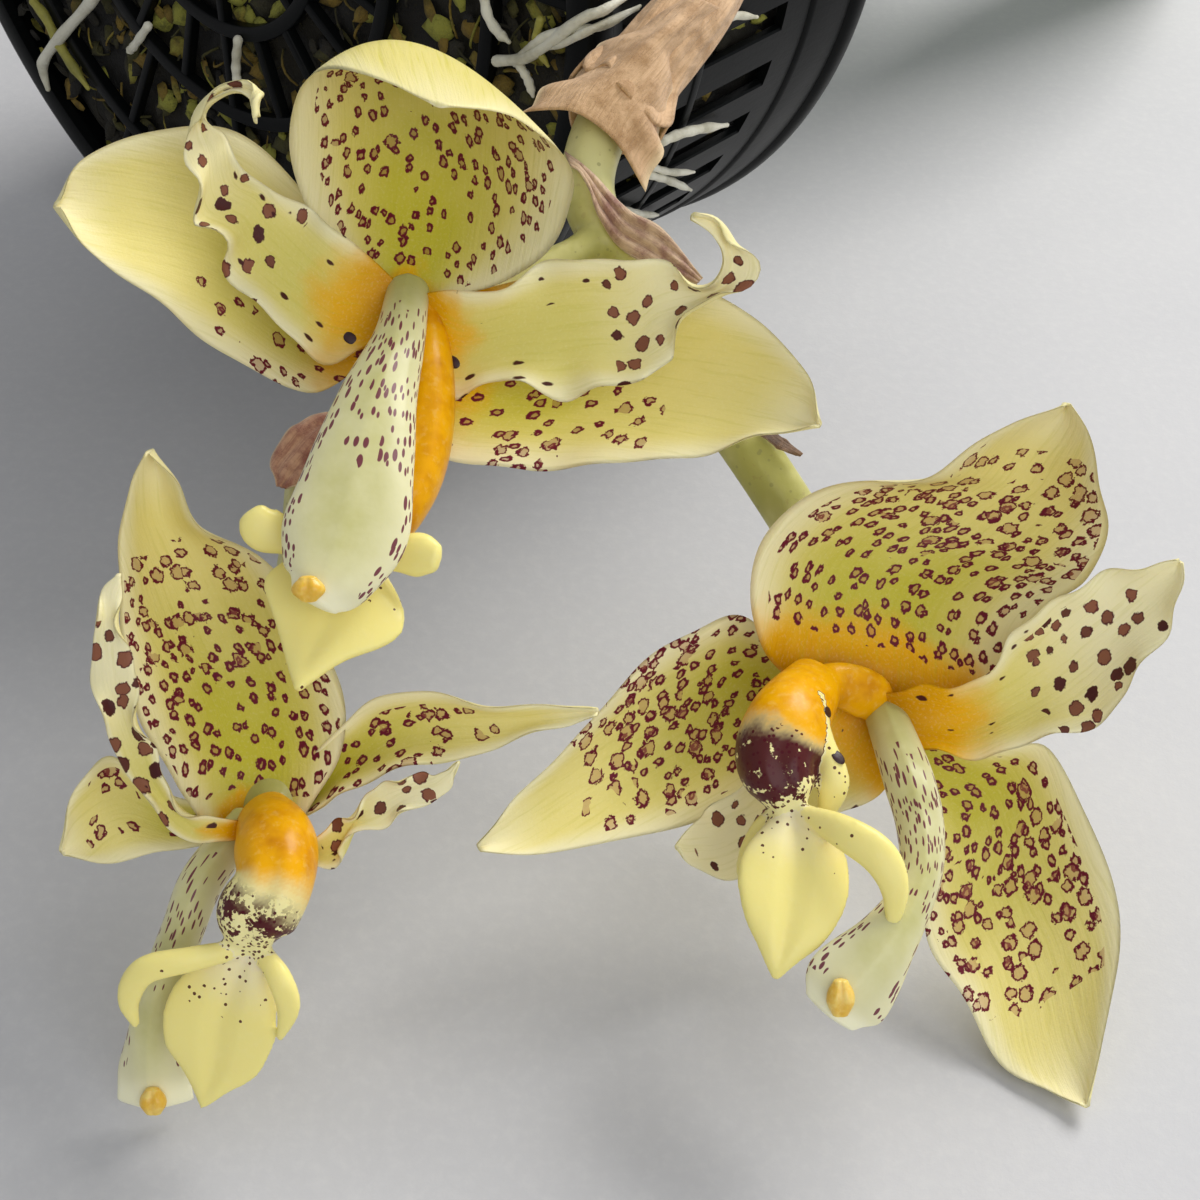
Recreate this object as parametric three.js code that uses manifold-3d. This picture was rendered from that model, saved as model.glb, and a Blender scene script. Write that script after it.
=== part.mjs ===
import * as THREE from 'three';
import { mergeVertices } from 'three/addons/utils/BufferGeometryUtils.js';
import Module from 'manifold-3d';

// A potted orchid with three spotted flowers, laid on its side. All sizes are in millimetres.

const solidLibrary = await Module();
solidLibrary.setup();

// Basket
const basketDepth = 82;
const footRadius = 99;
const wallRadius = 97;
const rimRadius = 99;
const wallThickness = 2;
const baseThickness = 2.6;
const basketSides = 48;
const slotStart = 9;
const slotEnd = 56;
const slotWidth = 5.2;
const baseRings = [[9, 29.5, 8], [32.5, 47.5, 20], [50.5, 72.5, 12], [75.5, 92, 12]];
const ribWidth = 2.6;
const floorFlat = 0.35;
const basketCentre = [-74, 371];
const basketHeading = 42;

// Root ball
const rootBallRadius = 93.8;
const rootBallDepth = 70;
const mossBump = 1.2;

// Flowers hang in a frame that leans back, so that its third axis faces up and forward
const flowerLean = 50;
const flowerFrameAt = [0, 218.3, 49.8];
const petalThickness = 1.2;
const seatGap = 0.3;

// Stem: across, up, toward and radius at points along it
const stemPath = [
  [22, 112, -60, 4.6], [16.5, 98, -42, 4.6], [10.5, 89, -35, 4.7], [4.5, 80, -31, 4.6],
  [-0.5, 71.5, -27, 4.5], [-1.5, 61.5, -24, 4.4], [4.5, 50.5, -22, 4.3], [14.5, 35, -20, 4.1],
  [25.5, 19, -19, 4], [32.5, 7.5, -18, 3.9], [36.5, -1.5, -15.5, 3.7],
];
const stalkOne = [[1, 57, -21, 2.4], [-5, 52, -19, 2.6], [-17, 46.5, -15, 3.2], [-26.5, 43.5, -8.5, 3.6]];
const stalkTwo = [
  [6, 47, -21.5, 2.4], [-8, 36, -27, 2.5], [-28, 28, -27, 2.7], [-43, 23, -22, 3],
  [-45, 8, -15, 3], [-46.5, -12, -8, 3.2], [-46.5, -26, 0, 3.4], [-45.8, -29.6, 4.5, 3.6],
];
const stalkThree = [[34.5, 2, -17.5, 3.6], [38, -6, -14, 3.5], [38.8, -12, -8.5, 3.6]];
const flowerSeat = 5;
const seatDepth = 7;

const flowerOne = {
  centre: [-28, 43, 0],
  upperSepal: {
    left: [
      [-4, -0.5, -3], [-12.5, 10.5, 0], [-15.5, 20.5, 3], [-14, 28.5, 7], [-7, 29, 13],
      [5.5, 23.5, 18],
    ],
    mid: [
      [-0.5, -1.5, -3], [2, 14, -9], [3, 25, -10], [3, 32.5, -5], [3, 34.5, 4], [6.5, 23, 18],
    ],
    right: [
      [3.5, -0.5, -3], [19, 4.5, 2], [24, 13.5, 4], [22.5, 19, 7], [17, 22.5, 13], [7.5, 23, 18],
    ],
  },
  leftSepal: {
    left: [
      [0.5, -2.5, -4], [-5.5, -7, -3], [-13, -13.5, -3], [-22.5, -9.5, -2], [-33.5, -2, 0],
      [-43.5, 6, 3], [-47.5, 12, 5],
    ],
    right: [
      [-1, 2, -5], [-8.5, 5.5, -6], [-16, 17.5, -6], [-25.5, 25, -4], [-36.5, 24, -1],
      [-45, 19.5, 2], [-47.5, 13, 5],
    ],
    cup: [1, 4, 2],
  },
  rightSepal: {
    left: [
      [0.5, 1.5, -5], [9, 2, -6], [22, 4.5, -6], [39.5, 3, -4], [50, -2.5, -1], [57, -11, 3],
      [58.5, -17.5, 5],
    ],
    right: [
      [-1, -3, -5], [1.5, -13, -5], [4.5, -22.5, -3], [22, -24, -2], [36.5, -23, 0], [52, -20, 3],
      [58, -18.5, 5],
    ],
    cup: [1, 4, 2],
  },
  leftPetal: {
    left: [
      [0.5, -3, -1], [-6.5, -7.5, 1], [-13, -8.5, 3], [-22, 0.5, 4], [-24, 6.5, 6], [-29, 9, 7],
      [-27, 15.5, 8], [-29, 23, 9], [-25, 27, 11], [-20, 27, 13], [-18.5, 21.5, 14],
    ],
    right: [
      [-0.5, 2, -1], [-8.5, 9, 2], [-16.5, 14, 3], [-21, 17, 5], [-24.5, 20.5, 7], [-26, 24, 9],
      [-23, 26, 11], [-19.5, 25.5, 13], [-18, 22.5, 14],
    ],
    cup: [1, 2, 1],
  },
  rightPetal: {
    left: [
      [0.5, 0.5, -1], [6.5, 1, 1], [13.5, 1, 3], [22, 4.5, 5], [33.5, 4.5, 6], [41.5, 1, 8],
      [44.5, 3, 10], [43.5, 7, 12], [40.5, 8.5, 14],
    ],
    right: [
      [0, -3, -1], [5, -13, 1], [13.5, -12.5, 3], [20, -14, 4], [28, -13.5, 5], [34.5, -13, 6],
      [36.5, -8, 7], [42, -3, 8], [47.5, 0, 9], [47.5, 4.5, 11], [44.5, 8.5, 13], [41, 9.5, 14],
    ],
    cup: [1, 3, 1],
  },
  column: {
    spine: [
      [0.5, 1.5, -2], [0, -7, 7], [-2, -15.5, 14], [-3.5, -24, 19], [-5, -33, 24], [-7, -40, 28],
      [-8.5, -43, 29],
    ],
    wide: [3, 3.7, 5.3, 6.9, 7.8, 5.5, 3],
    deep: [2.6, 3, 3.3, 3.4, 3, 2.2, 1.4],
  },
  anther: { spine: [[-9, -40.5, 31.5], [-9, -43, 31]], wide: [2.1, 1.8], deep: [1.5, 1.4] },
  lip: {
    body: {
      spine: [
        [2, -0.5, -3], [3.5, -8.5, 0], [3.5, -17.5, 3], [1.5, -26, 7], [-2, -33, 10],
        [-6, -38, 13],
      ],
      wide: [2.8, 3.3, 3.9, 4.7, 4.2, 2.8],
      deep: [2.4, 4.2, 4.8, 4.6, 3.6, 2.4],
    },
    blade: {
      spine: [
        [-4.5, -37, 15], [-6, -40.5, 18], [-7.5, -44.5, 21], [-9.5, -49.5, 24], [-11, -54.5, 27],
      ],
      wide: [3, 8, 9.7, 4.7, 0.6],
      deep: [2.2, 2, 1.8, 1.4, 0.7],
    },
    hornLeft: {
      spine: [[-7.5, -37.5, 16], [-12.5, -35, 19], [-16.5, -33.5, 20], [-18, -31.5, 21]],
      wide: [1.7, 2.1, 3, 1.9],
      deep: [1.6, 1.6, 1.8, 1.2],
    },
    hornRight: {
      spine: [[-5, -38, 16], [0, -37, 19], [4, -37, 20], [6.5, -37.5, 21]],
      wide: [1.8, 2.1, 2.9, 1.9],
      deep: [1.6, 1.6, 1.8, 1.2],
    },
  },
};

const flowerTwo = {
  centre: [-45.5, -29, 13],
  upperSepal: {
    left: [
      [-8.5, -3, -4], [-14.5, 7.5, 0], [-17.5, 17, 2], [-19.5, 27, 3], [-18.5, 36, 4],
      [-17.5, 44, 5], [-15, 48.5, 6],
    ],
    right: [
      [4, -2, -4], [9.5, 7.5, -3], [10, 15.5, -5], [6.5, 25, -5], [-0.5, 34.5, -2], [-8, 39, 2],
      [-11.5, 45, 5], [-14.5, 48.5, 6],
    ],
    cup: [2, 8, 3],
  },
  leftSepal: {
    left: [
      [-1.5, -3.5, -6], [-7, -4.5, -6], [-12.5, -5.5, -5], [-18, -6.5, -4], [-23, -7, -2],
      [-27, -5.5, 1],
    ],
    right: [
      [-2, -0.5, -7], [-9.5, 1, -7], [-17, 3, -6], [-22, 7.5, -4], [-25.5, 4.5, -1],
      [-27.5, -4.5, 1],
    ],
    cup: [0, 2, 1],
  },
  rightSepal: {
    left: [
      [-1.5, 0.5, -6], [2.5, 3, -6], [6.5, 8.5, -5], [10.5, 12.5, -4], [15, 15.5, -2],
      [22.5, 16.5, 0], [30.5, 15, 2], [37.5, 14.5, 3], [45, 14.5, 4],
    ],
    right: [
      [-1, -3, -6], [2.5, -2.5, -5], [7, 0.5, -3], [10.5, 3, -2], [19.5, 6, 0], [28, 8, 1],
      [34.5, 10, 2], [42, 12.5, 3], [45, 13.5, 4],
    ],
    cup: [1, 3, 1],
  },
  leftPetal: {
    left: [
      [-2, -3, 0], [-5, -3.5, 3], [-10.5, -2.5, 5], [-16.5, 5, 7], [-20.5, 14.5, 9],
      [-21, 19.5, 10], [-20, 29, 11], [-17.5, 32.5, 11],
    ],
    right: [
      [-2, -1, 0], [-4.5, -0.5, 3], [-8, 0, 5], [-12.5, 5.5, 8], [-14.5, 12.5, 9], [-15.5, 18, 10],
      [-16.5, 24, 11], [-17, 28.5, 11], [-17, 32.5, 11],
    ],
    cup: [0, 1, 0],
  },
  rightPetal: {
    left: [
      [0, -1, -1], [3.5, -2.5, 2], [7, -3, 4], [9.5, -1.5, 5], [13, 1.5, 6], [15.5, 3.5, 7],
      [19.5, 6, 8], [23.5, 5.5, 9], [27, 8, 10],
    ],
    right: [
      [0, -3, -1], [3.5, -5.5, 2], [8, -6.5, 4], [11.5, -5.5, 5], [12.5, -2, 6], [17.5, -0.5, 7],
      [22.5, 2, 8], [25.5, 4.5, 9], [27, 7.5, 10],
    ],
    cup: [0, 1, 0],
  },
  column: {
    spine: [
      [-3, -1.5, -3], [-8, -8.5, 2], [-10.5, -15, 3], [-12.5, -20.5, 3], [-14.5, -26.5, 2],
      [-15.5, -33.5, 0], [-15.5, -39.5, -2],
    ],
    wide: [2.6, 3, 2.9, 3, 3.2, 3.3, 3.7],
    deep: [2.6, 2.9, 2.9, 2.8, 2.6, 2.4, 1.6],
  },
  anther: { spine: [[-15, -37.5, 1.5], [-15, -40.5, 1]], wide: [1.8, 1.8], deep: [1.4, 1.3] },
  lip: {
    body: {
      spine: [[-0.5, -1, -1], [2.5, -3.5, 7], [3, -8, 11], [0.5, -12.5, 11], [0, -16.5, 10]],
      wide: [4.5, 5.3, 5, 5.5, 2],
      deep: [3.4, 5.2, 5.6, 5, 2.2],
    },
    blade: {
      spine: [
        [0, -16, 10], [-2.5, -21.5, 9], [-4.5, -26.5, 8], [-5.5, -32, 6.5], [-6.5, -35.5, 6],
        [-7.5, -38.5, 5],
      ],
      wide: [1.8, 6.1, 7.7, 6.3, 2.9, 0.5],
      deep: [2, 2, 1.9, 1.6, 1.2, 0.7],
    },
    hornLeft: {
      spine: [
        [-1.5, -16.5, 11], [-7.5, -17.5, 13], [-13.5, -19, 13], [-16, -23, 11], [-15.5, -27, 9],
      ],
      wide: [1.2, 1.6, 1.8, 1.5, 0.5],
      deep: [1.4, 1.4, 1.4, 1.2, 0.6],
    },
    hornRight: {
      spine: [[1.5, -17, 11], [4, -20, 13], [5, -24, 12], [3.5, -28.5, 10]],
      wide: [1.2, 1.6, 1.5, 0.5],
      deep: [1.4, 1.4, 1.2, 0.6],
    },
  },
};

const flowerThree = {
  centre: [38.5, -14, 0],
  upperSepal: {
    left: [
      [-9.5, 1, -4], [-15, 6.5, 0], [-17.5, 13.5, 2], [-16, 22, 4], [-10.5, 27.5, 4],
      [-1.5, 31, 4], [7.5, 31.5, 5], [15, 36.5, 7], [26, 41, 9],
    ],
    right: [
      [9, -3.5, -4], [16.5, 0, 0], [20, 6.5, 2], [25, 13, 3], [30, 17, 4], [32, 24, 6],
      [31, 31, 8], [29, 37, 9], [26.5, 41, 9],
    ],
    cup: [2, 10, 3],
  },
  leftSepal: {
    left: [
      [0.5, -3, -7], [-9.5, -6, -7], [-16, -13.5, -6], [-24, -18, -4], [-34, -20, -1],
      [-42.5, -21, 2], [-49.5, -22, 4], [-55, -21, 6],
    ],
    right: [
      [0, 0.5, -8], [-11.5, 7.5, -8], [-18.5, 12, -6], [-26, 9, -3], [-35, 2.5, 0],
      [-41.5, -4.5, 2], [-49.5, -13.5, 4], [-55.5, -20, 6],
    ],
    cup: [1, 4, 1],
  },
  rightSepal: {
    left: [
      [3.5, -1, -7], [12.5, -6.5, -6], [19.5, -7.5, -5], [26, -7, -4], [31, -16, -2],
      [34, -25.5, 1], [34.5, -36, 4], [31.5, -47.5, 7], [28.5, -55, 10],
    ],
    right: [
      [0.5, -3.5, -7], [6.5, -13.5, -6], [8.5, -23.5, -5], [8.5, -35, -3], [13, -42.5, 0],
      [18, -51, 4], [24, -54.5, 7], [28, -55.5, 10],
    ],
    cup: [1, 4, 1],
  },
  leftPetal: {
    left: [
      [4, -3.5, -4], [2.5, -13, -2], [-5, -17, -2], [-10.5, -22, -2], [-15.5, -24.5, -1],
      [-20.5, -26, 1], [-25.5, -23.5, 3], [-27.5, -21, 4],
    ],
    right: [
      [0.5, 0.5, -4], [-7, -2, -3], [-14.5, -9.5, -3], [-21, -14.5, -1], [-25.5, -17.5, 2],
      [-28, -20.5, 4],
    ],
    cup: [0, 1, 0],
  },
  rightPetal: {
    left: [
      [0.5, 0.5, -1], [6.5, 1.5, 3], [12, 2, 4], [18, 7, 6], [23.5, 14, 8], [29, 16.5, 10],
      [36.5, 19, 13], [40, 19.5, 14],
    ],
    right: [
      [0.5, -2.5, -1], [4.5, -6.5, 2], [10, -8, 4], [17.5, -7, 6], [27, -4.5, 7], [33, -0.5, 9],
      [38, 9, 12], [40.5, 15.5, 14], [40.5, 19, 14],
    ],
    cup: [1, 4, 1],
  },
  column: {
    spine: [
      [2.5, -2.5, -2], [4, -10.5, 9], [5, -16.5, 13], [4.5, -22, 17], [2, -27, 20], [-2, -32, 23],
      [-6.5, -37, 25], [-8.5, -39.5, 25],
    ],
    wide: [3, 3.5, 3.3, 3, 3.3, 4.4, 4.2, 2.8],
    deep: [2.6, 2.9, 2.9, 2.8, 2.8, 2.6, 2, 1.4],
  },
  anther: { spine: [[-7.5, -35.5, 27.5], [-7.5, -39.5, 27]], wide: [1.8, 1.7], deep: [1.5, 1.3] },
  lip: {
    body: {
      spine: [
        [-8, 2.5, 3], [-12.5, -2.5, 11], [-14.5, -7.5, 14], [-13.5, -11.5, 15], [-12.5, -14.5, 15],
      ],
      wide: [4.2, 5.5, 5.7, 4.4, 1.8],
      deep: [3.2, 5.2, 5.6, 4.6, 2.2],
    },
    blade: {
      spine: [
        [-12.5, -14, 15], [-12.5, -19, 18], [-13, -24, 20], [-14, -29, 22], [-15, -33, 23],
        [-15.5, -35.5, 23],
      ],
      wide: [1.8, 6.4, 7.5, 5.8, 2.5, 0.6],
      deep: [2, 2.1, 2, 1.7, 1.2, 0.7],
    },
    hornLeft: {
      spine: [[-13.5, -14.5, 15], [-16.5, -17, 14], [-18.5, -22.5, 12], [-17.5, -28, 11]],
      wide: [1.1, 1.5, 1.4, 0.6],
      deep: [1.3, 1.3, 1.1, 0.6],
    },
    hornRight: {
      spine: [
        [-11.5, -14.5, 17], [-6.5, -16.5, 22], [-2, -19.5, 24], [0, -24, 24], [-0.5, -30, 23],
      ],
      wide: [1.2, 2.2, 2.4, 1.8, 0.6],
      deep: [1.4, 1.5, 1.5, 1.3, 0.6],
    },
    claw: {
      spine: [[-9.5, 2, 4], [-4.5, 2, 2], [-0.5, 0.5, 0], [1.5, -1, -2]],
      wide: [2.5, 3.3, 3.6, 3],
      deep: [2, 1.8, 1.7, 1.6],
    },
  },
};


// Sheath and bracts on the stem
const sheath = {
  left: [[12, 96, -36], [6.5, 92, -34], [-1, 86, -31], [-6, 80.5, -27], [-12.5, 74.5, -22]],
  mid: [[15.5, 94.5, -30], [10, 88, -25], [4.5, 81.5, -22], [0.5, 76.5, -20], [-1.5, 73, -19]],
  right: [[20, 95, -37], [15.5, 89, -35], [11, 83.5, -32], [10.5, 74.5, -27], [7, 63, -24]],
};
const longBract = {
  left: [[-5.5, 69, -22], [-1, 65, -19], [4.5, 59, -17.5], [9.5, 56, -16.5], [15.5, 48.5, -16]],
  right: [[-4.5, 66, -19.5], [-2.5, 64, -18], [0, 57.5, -17.5], [4.5, 52, -17], [14.5, 47.5, -16]],
};
const smallBract = {
  left: [[25, 26.5, -15.5], [28, 24, -15.5], [30.5, 22, -15]],
  right: [[23.5, 25, -14.5], [27, 22.5, -14.5], [30, 21.5, -15]],
};
const hiddenBract = {
  left: [[-40, 29, -21], [-45, 27.5, -17], [-49, 21.5, -13], [-48, 17, -11]],
  right: [[-37, 25, -21], [-38.5, 24, -17], [-42, 18.5, -13], [-46.5, 16.5, -11.5]],
};

// Pseudobulbs and leaves in the basket's own frame: aside, down, out of the mouth
const bulbs = [
  { at: [-5, -20], radius: 14, lean: [0, -3] },
  { at: [27, 12], radius: 13, lean: [4, 0] },
  { at: [-30, 17], radius: 13, lean: [-6, 2] },
];
const bulbFoot = 62;
const bulbHeight = 52;
const leaves = [
  {
    spine: [[-5, -23, 115], [-8, -36, 150], [-14, -36, 192], [-24, -4, 244], [-34, 52, 284], [-38, 97.5, 302]],
    wide: [2, 5, 25, 33, 22, 2],
  },
  {
    spine: [[31, 12, 116], [34, 2, 150], [38, 0, 202], [41, 30, 260], [42, 74, 296], [42, 97.5, 312]],
    wide: [2, 5, 22, 28, 17, 2],
  },
  {
    spine: [[-36, 19, 116], [-50, 6, 150], [-76, -10, 196], [-104, 8, 242], [-124, 58, 270], [-132, 97, 286]],
    wide: [2, 5, 24, 30, 20, 2],
  },
];
const leafThickness = 1.1;

// Roots on the outside of the basket, in its own frame, each starting inside an opening
const roots = [
  [[-60, -18, 7], [-61, -19, -1], [-64, -24, -3], [-72, -38, -3.2], [-80, -44, -3]],
  [[-56, 36, 7], [-57, 37, -1], [-60, 42, -3], [-66, 52, -3.2], [-62, 66, -3]],
  [[60, 14, 7], [61, 14, -1], [64, 10, -3.2], [74, -2, -3.4], [84, -8, -3]],
  [[17, -58, 7], [17, -59, -1], [22, -62, -3], [36, -66, -3.2], [50, -64, -3]],
  [[39, -5, 7], [39.5, -5, -1], [43, -4, -3.2], [54, -2, -3.6], [60, -16, -3]],
];
const rootRadius = 1.2;

// A repeatable number from 0 to 1 for a place on a surface
function scatter(a, b, c) {
  const value = Math.sin(a * 12.99 + b * 78.23 + c * 37.72) * 43758.55;
  return value - Math.floor(value);
}

function vectors(points) {
  return points.map((p) => new THREE.Vector3(p[0], p[1], p[2]));
}

function railPoints(points, count) {
  const curve = new THREE.CatmullRomCurve3(vectors(points), false, 'catmullrom', 0.5);
  curve.arcLengthDivisions = 24 * (points.length - 1);
  return curve.getSpacedPoints(count - 1);
}

// A value that runs through three numbers at the foot, middle and tip
function threeWay(values, s) {
  const [foot, middle, tip] = values;
  return foot * (1 - s) * (1 - 2 * s) + middle * 4 * s * (1 - s) + tip * s * (2 * s - 1);
}

function indexed(points, triangles) {
  const geometry = new THREE.BufferGeometry();
  const flat = points.flatMap((p) => [p.x, p.y, p.z]);
  geometry.setAttribute('position', new THREE.Float32BufferAttribute(flat, 3));
  geometry.setIndex(triangles);
  return geometry;
}

function solidOf(geometry) {
  const plain = geometry.clone();
  plain.deleteAttribute('normal');
  plain.deleteAttribute('uv');
  const merged = mergeVertices(plain, 1e-4);
  const mesh = new solidLibrary.Mesh({
    numProp: 3,
    vertProperties: Float32Array.from(merged.attributes.position.array),
    triVerts: Uint32Array.from(merged.index.array),
  });
  let solid = new solidLibrary.Manifold(mesh);
  if (solid.volume() < 0) {
    const flipped = Uint32Array.from(merged.index.array);
    for (let i = 0; i < flipped.length; i += 3) {
      [flipped[i], flipped[i + 1]] = [flipped[i + 1], flipped[i]];
    }
    solid = new solidLibrary.Manifold(new solidLibrary.Mesh({
      numProp: 3,
      vertProperties: Float32Array.from(merged.attributes.position.array),
      triVerts: flipped,
    }));
  }
  return solid;
}

function geometryOf(solid) {
  const mesh = solid.getMesh();
  const positions = new Float32Array(mesh.numVert * 3);
  for (let i = 0; i < mesh.numVert; i += 1) {
    positions[3 * i] = mesh.vertProperties[mesh.numProp * i];
    positions[3 * i + 1] = mesh.vertProperties[mesh.numProp * i + 1];
    positions[3 * i + 2] = mesh.vertProperties[mesh.numProp * i + 2];
  }
  const geometry = new THREE.BufferGeometry();
  geometry.setAttribute('position', new THREE.BufferAttribute(positions, 3));
  geometry.setIndex(Array.from(mesh.triVerts));
  geometry.computeVertexNormals();
  return geometry;
}

function mainBody(solid) {
  const bodies = solid.decompose();
  bodies.sort((a, b) => b.volume() - a.volume());
  return bodies[0];
}

function joined(solids) {
  return solids.reduce((sum, next) => sum.add(next));
}

// The middle surface of a thin blade: rows along it, points across it
function bladeRows(shape, rows, columns, grow) {
  const left = railPoints(shape.left, rows);
  const right = railPoints(shape.right, rows);
  const middle = shape.mid ? railPoints(shape.mid, rows) : null;
  const cup = shape.cup ?? [0, 0, 0];
  const facing = new THREE.Vector3();
  const normals = left.map((point, i) => {
    const next = left[Math.min(i + 1, rows - 1)].clone().add(right[Math.min(i + 1, rows - 1)]);
    const last = left[Math.max(i - 1, 0)].clone().add(right[Math.max(i - 1, 0)]);
    const normal = next.sub(last).cross(right[i].clone().sub(point)).normalize();
    facing.add(normal);
    return normal;
  });
  const side = facing.z < 0 ? -1 : 1;
  return left.map((point, i) => {
    const s = i / (rows - 1);
    const centre = middle ? middle[i].clone()
      : point.clone().add(right[i]).multiplyScalar(0.5)
        .addScaledVector(normals[i], -side * threeWay(cup, s));
    const from = point.clone();
    const to = right[i].clone();
    if (grow > 0) {
      from.add(from.clone().sub(centre).setLength(grow));
      to.add(to.clone().sub(centre).setLength(grow));
    }
    const row = [];
    for (let j = 0; j <= columns; j += 1) {
      const u = (2 * j) / columns - 1;
      row.push(centre.clone().multiplyScalar(1 - u * u)
        .addScaledVector(from, (u * (u - 1)) / 2)
        .addScaledVector(to, (u * (u + 1)) / 2));
    }
    return row;
  });
}

function bladeGeometry(shape, thickness, rows = 10, columns = 4, grow = 0) {
  const middle = bladeRows(shape, rows, columns, grow);
  const points = [];
  const half = thickness / 2 + grow;
  [1, -1].forEach((face) => {
    middle.forEach((row, i) => row.forEach((point, j) => {
      const along = middle[Math.min(i + 1, rows - 1)][j].clone().sub(middle[Math.max(i - 1, 0)][j]);
      const across = row[Math.min(j + 1, columns)].clone().sub(row[Math.max(j - 1, 0)]);
      const edge = Math.abs((2 * j) / columns - 1);
      points.push(point.clone().addScaledVector(along.cross(across).normalize(),
        face * half * (1 - 0.4 * edge * edge)));
    }));
  });
  const width = columns + 1;
  const backFace = rows * width;
  const triangles = [];
  const quad = (a, b, c, d) => triangles.push(a, b, c, a, c, d);
  for (let i = 0; i < rows - 1; i += 1) {
    for (let j = 0; j < columns; j += 1) {
      const a = i * width + j;
      quad(a, a + width, a + width + 1, a + 1);
      triangles.push(backFace + a, backFace + a + width + 1, backFace + a + width);
      triangles.push(backFace + a, backFace + a + 1, backFace + a + width + 1);
    }
    const a = i * width;
    quad(a, backFace + a, backFace + a + width, a + width);
    const b = a + columns;
    quad(b, b + width, backFace + b + width, backFace + b);
  }
  for (let j = 0; j < columns; j += 1) {
    quad(j, j + 1, backFace + j + 1, backFace + j);
    const a = (rows - 1) * width + j;
    quad(a, backFace + a, backFace + a + 1, a + 1);
  }
  return indexed(points, triangles);
}

// A body with an oval section that changes along a curve
function sweptGeometry(spine, wide, deep, rows = 9, sides = 8, grow = 0, ridge = null) {
  const curve = new THREE.CatmullRomCurve3(vectors(spine), false, 'catmullrom', 0.5);
  const sizes = new THREE.CatmullRomCurve3(
    wide.map((w, i) => new THREE.Vector3(w, deep[i], 0)), false, 'catmullrom', 0.5);
  const points = [];
  const triangles = [];
  const toward = new THREE.Vector3(0, 0, 1);
  const middles = [];
  for (let i = 0; i < rows; i += 1) {
    const s = i / (rows - 1);
    const point = curve.getPoint(s);
    const tangent = curve.getTangent(s);
    const across = tangent.clone().cross(toward);
    if (across.length() < 0.2) across.set(1, 0, 0).addScaledVector(tangent, -tangent.x);
    across.normalize();
    const up = across.clone().cross(tangent).normalize();
    const size = sizes.getPoint(s);
    middles.push({ point, tangent, size });
    for (let j = 0; j < sides; j += 1) {
      const angle = (2 * Math.PI * j) / sides;
      const rib = ridge ? 1 + ridge * Math.cos((angle * sides) / 2) : 1;
      points.push(point.clone()
        .addScaledVector(across, (Math.max(size.x, 0.35) + grow) * rib * Math.cos(angle))
        .addScaledVector(up, (Math.max(size.y, 0.3) + grow) * rib * Math.sin(angle)));
    }
  }
  for (let i = 0; i < rows - 1; i += 1) {
    for (let j = 0; j < sides; j += 1) {
      const a = i * sides + j;
      const b = i * sides + ((j + 1) % sides);
      triangles.push(a, b, b + sides, a, b + sides, a + sides);
    }
  }
  const first = points.length;
  const start = middles[0];
  const end = middles[rows - 1];
  points.push(start.point.clone().addScaledVector(start.tangent, -0.45 * start.size.y - grow));
  points.push(end.point.clone().addScaledVector(end.tangent, 0.45 * end.size.y + grow));
  for (let j = 0; j < sides; j += 1) {
    const next = (j + 1) % sides;
    triangles.push(first, next, j);
    const top = (rows - 1) * sides;
    triangles.push(first + 1, top + j, top + next);
  }
  return indexed(points, triangles);
}

function round(path, rows, sides, grow = 0) {
  return solidOf(sweptGeometry(path, path.map((p) => p[3]), path.map((p) => p[3]), rows, sides, grow));
}

function swept(shape, rows, sides, grow = 0) {
  return solidOf(sweptGeometry(shape.spine, shape.wide, shape.deep, rows, sides, grow));
}

function shifted(shape, by) {
  const move = (points) => points.map((p) => [p[0] + by[0], p[1] + by[1], p[2] + by[2]]);
  const copy = { ...shape };
  ['left', 'mid', 'right', 'spine'].forEach((key) => {
    if (shape[key]) copy[key] = move(shape[key]);
  });
  return copy;
}

const colours = {
  basket: [0x1b1c1c, 0.45],
  moss: [0x4a4426, 0.95],
  stem: [0xbccb92, 0.5],
  bract: [0xb8905f, 0.75],
  petal: [0xe6dc93, 0.45],
  lip: [0xecc95c, 0.25],
  column: [0xdbe3bd, 0.35],
  anther: [0xe0b83f, 0.4],
  bulb: [0x6f8a3c, 0.5],
  leaf: [0x3f6a2c, 0.4],
};

function material(kind) {
  const [color, roughness] = colours[kind];
  return new THREE.MeshStandardMaterial({ color, roughness, metalness: 0, side: THREE.DoubleSide });
}

const orchid = new THREE.Group();
const flowerFrame = new THREE.Group();
flowerFrame.position.set(...flowerFrameAt);
flowerFrame.rotation.x = THREE.MathUtils.degToRad(flowerLean);
orchid.add(flowerFrame);

const basketFrame = new THREE.Group();
const tilt = Math.atan2(rimRadius - footRadius, basketDepth);
const heading = THREE.MathUtils.degToRad(basketHeading);
const outward = new THREE.Vector3(Math.sin(heading) * Math.cos(tilt), Math.cos(heading) * Math.cos(tilt),
  Math.sin(tilt));
const aside = new THREE.Vector3(Math.cos(heading), -Math.sin(heading), 0);
const downward = outward.clone().cross(aside).normalize();
basketFrame.quaternion.setFromRotationMatrix(new THREE.Matrix4().makeBasis(aside, downward, outward));
const facetReach = Math.cos(Math.PI / basketSides);
basketFrame.position.set(basketCentre[0], basketCentre[1],
  footRadius * facetReach * Math.cos(tilt) - floorFlat);
orchid.add(basketFrame);
orchid.updateMatrixWorld(true);

function addPiece(frame, name, solid, kind) {
  const mesh = new THREE.Mesh(geometryOf(solid), material(kind));
  mesh.name = name;
  frame.add(mesh);
}

// Takes a solid from the flower frame into the basket frame
function intoBasket(solid) {
  const matrix = basketFrame.matrixWorld.clone().invert().multiply(flowerFrame.matrixWorld);
  return solid.transform(matrix.elements);
}

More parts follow.
